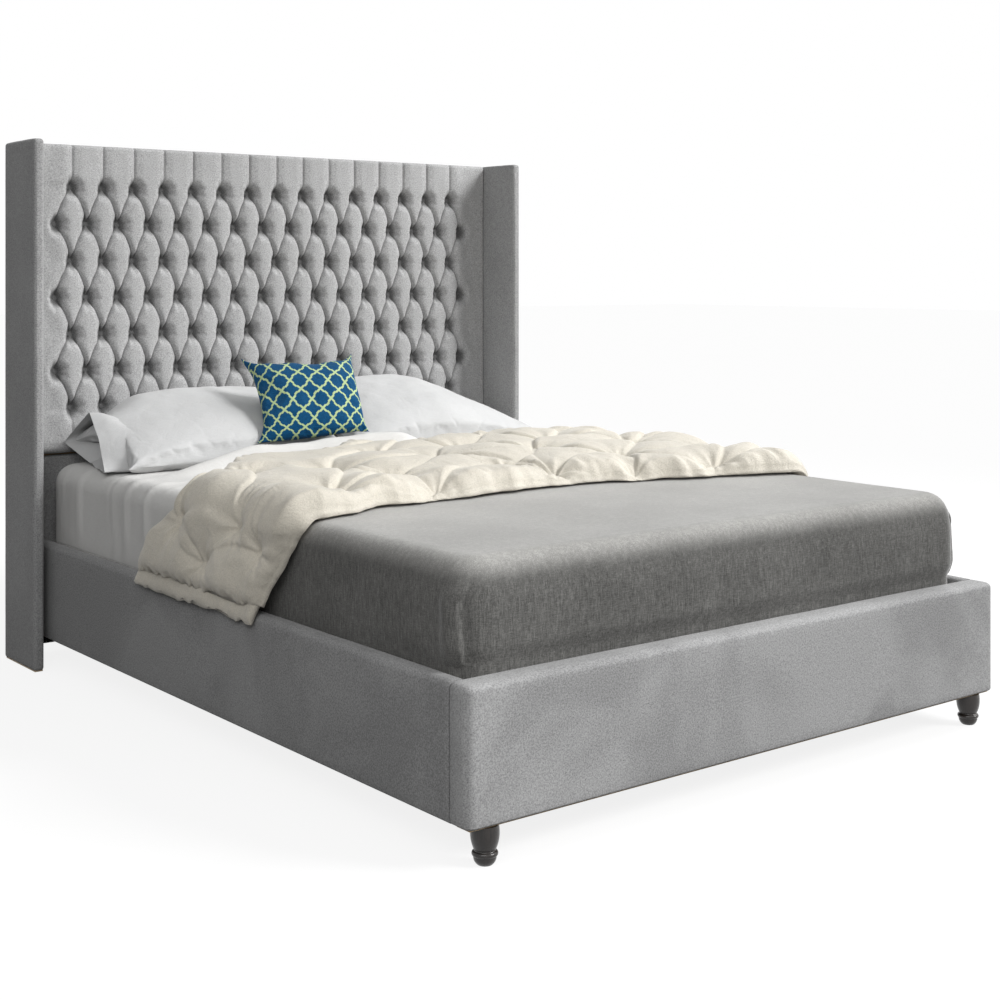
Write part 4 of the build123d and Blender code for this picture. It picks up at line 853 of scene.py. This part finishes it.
def stuffed_piece(name, size, crown, belly, draw_in, corner, material, seed, wrinkle, ears=0.0, pulls=(), chop=0.0):
    """A closed stuffed form in its own plane: crowned faces, drawn-in sides, and corners that may be drawn out.

    draw_in: shares at the left, far, near and right side. pulls: a corner and how far it is moved.
    chop: depth of the dip in the far side.
    """
    length, width = size
    n, m = 170, 130
    u, v = np.meshgrid(np.linspace(-1, 1, n), np.linspace(-1, 1, m), indexing="ij")
    x = u * length / 2 * (1 - np.where(u > 0, draw_in[3], draw_in[0]) * (1 - v**2) ** 0.8 * np.abs(u) ** 3)
    y = v * width / 2 * (1 - np.where(v > 0, draw_in[1], draw_in[2]) * (1 - u**2) ** 0.8 * np.abs(v) ** 3)
    x = x + ears * np.sign(u) * np.abs(u * v) ** 9
    y = y + ears * np.sign(v) * np.abs(u * v) ** 9
    for side_u, side_v, pull_x, pull_y in pulls:
        share = (np.clip((1 + side_u * u) / 2, 0, 1) * np.clip((1 + side_v * v) / 2, 0, 1)) ** 1.5
        x, y = x + pull_x * share, y + pull_y * share
    full = np.clip((1 - np.abs(u) ** corner) * (1 - np.abs(v) ** corner), 0, 1) ** 0.62
    full = full * (1 - chop * bell(u - 0.2, 0.34) * ease(v, 0.1, 0.95))
    place = np.stack([x, y, 0 * x], -1)
    from_end, from_side = (1 - np.abs(u)) * length / 2, (1 - np.abs(v)) * width / 2
    to_side = np.minimum(from_end, from_side)
    rays = np.sin((from_end - from_side) / 0.007 + 2 * smooth_noise(place, 0.05, seed + 3))
    rays = rays * np.exp(-np.hypot(from_end, from_side) / 0.06)
    gathers = np.sin(np.where(from_end < from_side, y, x) / 0.0085 + 3 * smooth_noise(place, 0.06, seed + 5))
    gathers = gathers * np.exp(-to_side / 0.022)
    surface = wrinkle * fractal(place, 0.13, 3, seed) + 0.45 * wrinkle * rays + 0.3 * wrinkle * gathers
    ramp = ease(to_side, 0.0, 0.02)
    top = crown * full + surface * ramp + 0.0016
    low = -belly * full + 0.5 * wrinkle * fractal(place, 0.14, 2, seed + 9) * ramp - 0.0016
    upper, lower = np.stack([x, y, top], -1), np.stack([x, y, low], -1)
    faces = grid_faces(n, m) + grid_faces(n, m, flip=True, start=n * m)
    index = np.arange(n * m).reshape(n, m)
    rim = np.concatenate([index[:, 0], index[-1, 1:], index[-2::-1, -1], index[0, -2:0:-1]])
    for a, b in zip(np.roll(rim, 1).tolist(), rim.tolist()):
        faces.append([a, b, b + n * m, a + n * m])
    points = np.concatenate([upper.reshape(-1, 3), lower.reshape(-1, 3)])
    return outward(mesh_object(name, points, faces, material))


def points_of(obj):
    """A mesh's points as an array, in the object's own space."""
    flat = np.empty(len(obj.data.vertices) * 3)
    obj.data.vertices.foreach_get("co", flat)
    return flat.reshape(-1, 3)


def put_points(obj, points):
    obj.data.vertices.foreach_set("co", np.asarray(points, float).ravel())
    obj.data.update()


def applied(obj):
    """Takes the result of the object's modifiers as its mesh."""
    result = bpy.data.meshes.new_from_object(obj.evaluated_get(bpy.context.evaluated_depsgraph_get()))
    obj.modifiers.clear()
    obj.data = result
    return obj


def inflated(obj, voxel, pressure, slack, cap):
    """Cloth simulation: the skin, a little larger than its filling, swells and wrinkles under pressure."""
    placed = obj.matrix_world.copy()
    obj.matrix_world = Matrix.Identity(4)
    remesh = obj.modifiers.new("remesh", "REMESH")
    remesh.mode = "VOXEL"
    remesh.voxel_size = voxel
    applied(obj)
    before = points_of(obj)
    cloth = obj.modifiers.new("cloth", "CLOTH")
    settings = cloth.settings
    settings.quality = 5
    settings.use_pressure = True
    settings.uniform_pressure_force = pressure
    settings.shrink_min = -slack
    settings.bending_stiffness = 0.4
    settings.effector_weights.gravity = 0
    scene = bpy.context.scene
    for number in range(1, 21):
        scene.frame_set(number)
    applied(obj)
    moved = points_of(obj) - before
    length = np.linalg.norm(moved, axis=1, keepdims=True)
    put_points(obj, before + moved * np.minimum(1, cap / np.maximum(length, 1e-9)))
    scene.frame_set(1)
    finer = obj.modifiers.new("finer", "SUBSURF")
    finer.levels = 1
    applied(obj)
    obj.data.polygons.foreach_set("use_smooth", [True] * len(obj.data.polygons))
    obj.matrix_world = placed
    return obj


def world_points(obj):
    m = np.array(obj.matrix_world)
    return points_of(obj) @ m[:3, :3].T + m[:3, 3]


def put_world_points(obj, points):
    m = np.array(obj.matrix_world.inverted())
    put_points(obj, points @ m[:3, :3].T + m[:3, 3])


def kept_under(obj, other, gap):
    """Presses a soft piece in where another piece lies on it, across that piece's own thickness."""
    corners = [Vector(p) for p in points_of(other)]
    tree = BVHTree.FromPolygons(corners, [f.vertices[:] for f in other.data.polygons])
    to_other = np.array(other.matrix_world.inverted())
    points = world_points(obj) @ to_other[:3, :3].T + to_other[:3, 3]
    for i in np.where(np.all(np.abs(points[:, :2]) < 0.21, axis=1) & (points[:, 2] > -0.1))[0]:
        spot = tree.ray_cast(Vector((points[i, 0], points[i, 1], -1)), Vector((0, 0, 1)))[0]
        if spot is None:
            spot = tree.find_nearest(Vector(points[i]))[0]
            if math.hypot(points[i, 0] - spot.x, points[i, 1] - spot.y) > 0.012:
                continue
        points[i, 2] = min(points[i, 2], spot.z - gap)
    back = np.array(other.matrix_world)
    put_world_points(obj, points @ back[:3, :3].T + back[:3, 3])


# Accent cushion, leaning on the pillows
PAD_CREST = PAD_LOW.y
CUSHION_PULLS = ((-1, 1, -0.017, -0.008), (-1, -1, 0.0, -0.018), (1, -1, 0.0, 0.014))
cushion = stuffed_piece(
    "accent_cushion_cotton", (0.322, 0.322), 0.052, 0.024, (0.14, 0.5, -0.05, 0.03), 2.4, TRELLIS, 81, 0.004,
    ears=0.004, pulls=CUSHION_PULLS, chop=0.75,
)
low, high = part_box("accent_cushion")
middle = Vector(((low.x + high.x) / 2, (low.y + high.y) / 2 + 0.002, (low.z + high.z) / 2 + 0.001))
turn = Matrix.Rotation(math.radians(-19.7), 4, "Z") @ Matrix.Rotation(math.radians(44), 4, "X")
cushion.matrix_world = Matrix.Translation(middle) @ turn
inflated(cushion, 0.0035, 3.0, 0.02, 0.014)
finish_piece(cushion, "cushion_body", "trellis_print", "accent_cushion")


# Two pillows, tipped up against the headboard, lower towards their outer ends
for name, sign, length, middle, press, droop, back in (
    ("pillow_left", -1, 0.7, -0.3545, 0.93, 0.15, 0.5),
    ("pillow_right", 1, 0.75, 0.3805, 1.0, 0.42, 0.0),
):
    low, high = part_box(name)
    size, draw_in = (length, 0.474), (0.03, 0.04, 0.02, 0.03)
    pillow = stuffed_piece(name + "_cotton", size, 0.066, 0.036, draw_in, 2.7, PILLOW, 60 + sign, 0.0035)
    placed = Matrix.Translation((middle, (low.y + high.y) / 2, 0.64))
    pillow.matrix_world = placed @ Matrix.Rotation(math.radians(20), 4, "X")
    inflated(pillow, 0.006, 4.0, 0.025, 0.016)
    points = world_points(pillow)
    points[:, 2] += SHEET_TOP - 0.004 - points[:, 2].min()
    points[:, 1] += high.y - 0.001 - points[:, 1].max()
    outer = ease(sign * points[:, 0], 0.36, 0.76)
    rear = ease(sign * points[:, 0], 0.5, 0.72) * ease(points[:, 1], 0.8, 0.98)
    points[:, 2] = SHEET_TOP + (points[:, 2] - SHEET_TOP) * press * (1 - droop * outer - back * rear)
    points[:, 2] = np.maximum(points[:, 2], SHEET_TOP + 0.0008)
    points[:, 1] = np.minimum(points[:, 1], PAD_CREST - 0.001)
    points[:, 0] = sign * np.maximum(sign * points[:, 0], 0.003)
    put_world_points(pillow, points)
    kept_under(pillow, cushion, 0.0025)
    finish_piece(pillow, name + "_body", "white_cotton", name)


# The open end of the left pillow's case, past the filling
def case_end():
    corners = np.array([(-0.715, 0.972, 0.612), (-0.687, 0.86, 0.704), (-0.712, 0.74, 0.64), (-0.742, 0.63, 0.556),
                        (-0.712, 0.74, 0.5585), (-0.68, 0.87, 0.5585)])
    filled = world_points(bpy.data.objects["pillow_left_cotton"])
    belt = filled[np.abs(filled[:, 0] + 0.63) < 0.006]
    centre = np.array([0.78, 0.63])
    angles = np.arctan2(belt[:, 2] - centre[1], belt[:, 1] - centre[0])
    count = 120
    turns = np.linspace(0, 2 * math.pi, count, endpoint=False) + 0.35
    mouth_at = np.unwrap(np.arctan2(corners[:, 2] - centre[1], corners[:, 1] - centre[0]))
    mouth_at = np.concatenate([mouth_at, [mouth_at[0] + 2 * math.pi]])
    closed = np.concatenate([corners, corners[:1]])
    rings = []
    for share in np.linspace(0, 1, 26):
        ring = []
        for turn_angle in turns:
            gap = np.abs((angles - turn_angle + math.pi) % (2 * math.pi) - math.pi)
            near = belt[np.argsort(gap)[:3]].mean(axis=0)
            away = near[1:] - centre
            near[1:] = centre + away * (1 + 0.0015 / np.linalg.norm(away))
            at = (turn_angle - mouth_at[0]) % (2 * math.pi) + mouth_at[0]
            mouth = np.array([np.interp(at, mouth_at, closed[:, i]) for i in range(3)])
            bulge = 0.006 * math.sin(math.pi * share)
            ring.append(near * (1 - share) + mouth * share + np.array([0, 0, bulge * math.sin(turn_angle)]))
        rings.append(ring)
    rings = np.array(rings)
    for _ in range(2):
        rings[:, :] = (np.roll(rings, 1, axis=1) + 2 * rings + np.roll(rings, -1, axis=1)) / 4
    rings[..., 2] += 0.0025 * fractal(rings, 0.07, 3, 71) * np.linspace(0, 1, 26)[:, None]
    rings[..., 2] = np.maximum(rings[..., 2], SHEET_TOP + 0.001)
    rings[..., 1] = np.minimum(rings[..., 1], PAD_CREST - 0.002)
    return mesh_object("pillow_case_end", rings, grid_faces(*rings.shape[:2], wrap=True), PILLOW)


case = finish_piece(case_end(), "pillow_left_body", "white_cotton")


# Floor, light and camera
PURE_WHITE = (1, 1, 1, 1)


def backdrop_rays(tree):
    """1 for the rays that show the white background, 0 for those that light the bed."""
    rays = add_node(tree, "LightPath").outputs
    either = add_node(tree, "Math", {0: rays["Is Camera Ray"], 1: rays["Is Glossy Ray"]}, operation="MAXIMUM")
    inputs = {0: either.outputs[0], 1: rays["Is Transmission Ray"]}
    return add_node(tree, "Math", inputs, operation="MAXIMUM").outputs[0]


def floor_material():
    """Pale floor that shows white and keeps the bed's shadow."""
    material = bpy.data.materials.new("pale_floor")
    material.use_nodes = True
    tree = material.node_tree
    tree.nodes.clear()
    diffuse = add_node(tree, "BsdfDiffuse", {"Color": (0.17, 0.17, 0.17, 1)})
    strength = add_node(tree, "Math", {0: backdrop_rays(tree), 1: 0.85}, operation="MULTIPLY")
    glow = add_node(tree, "Emission", {"Color": PURE_WHITE, "Strength": strength.outputs[0]})
    both = add_node(tree, "AddShader", {0: diffuse.outputs[0], 1: glow.outputs[0]})
    add_node(tree, "OutputMaterial", {0: both.outputs[0]})
    return material


half = 40
floor_corners = [(-half, -half, 0), (half, -half, 0), (half, half, 0), (-half, half, 0)]
mesh_object("floor", floor_corners, [[0, 1, 2, 3]], floor_material(), smooth=False)

world = bpy.data.worlds.new("studio")
bpy.context.scene.world = world
world.use_nodes = True
tree = world.node_tree
tree.nodes.clear()
seen = add_node(tree, "Background", {"Color": PURE_WHITE, "Strength": 1.0})
height = add_node(tree, "SeparateXYZ", {0: add_node(tree, "TexCoord").outputs["Generated"]}).outputs[2]
sky = add_node(tree, "MapRange", {"Value": height, "To Min": 0.08, "To Max": 0.43})
lit = add_node(tree, "Background", {"Color": PURE_WHITE, "Strength": sky.outputs["Result"]})
mixer = add_node(tree, "MixShader", {0: backdrop_rays(tree), 1: lit.outputs[0], 2: seen.outputs[0]})
add_node(tree, "OutputWorld", {0: mixer.outputs[0]})


def add_lamp(name, kind, energy, against, place=(0, 0, 0), size=None):
    """A lamp that shines against a direction, and a rectangle where it has a size."""
    data = bpy.data.lights.new(name, kind)
    data.energy = energy
    if size:
        data.shape = "RECTANGLE"
        data.size, data.size_y = size
    lamp = bpy.data.objects.new(name, data)
    bpy.context.scene.collection.objects.link(lamp)
    lamp.location = place
    lamp.rotation_euler = Vector(against).to_track_quat("Z", "Y").to_euler()
    return data


add_lamp("key", "SUN", 2.5, (0.55, -0.62, 0.56)).angle = math.radians(19)
add_lamp("window", "AREA", 92, (3.1, -0.5, 2.2), (3.1, -0.5, 2.7), (2.6, 1.8))
add_lamp("fill", "AREA", 72, (-3.0, -2.8, 2.0), (-3.0, -3.2, 2.6), (3.0, 2.0))

camera_data = bpy.data.cameras.new("camera")
camera_data.lens = 56.875
camera_data.sensor_width = 36.0
camera_data.shift_x = -0.0055
camera_data.shift_y = -0.2244
camera_data.clip_end = 200
camera = bpy.data.objects.new("camera", camera_data)
bpy.context.scene.collection.objects.link(camera)
camera.location = (-2.5134, -3.3468, 1.0862)
camera.rotation_euler = (math.pi / 2, 0, -math.radians(38.2324))
bpy.context.scene.camera = camera
bpy.context.scene.view_settings.view_transform = "Standard"
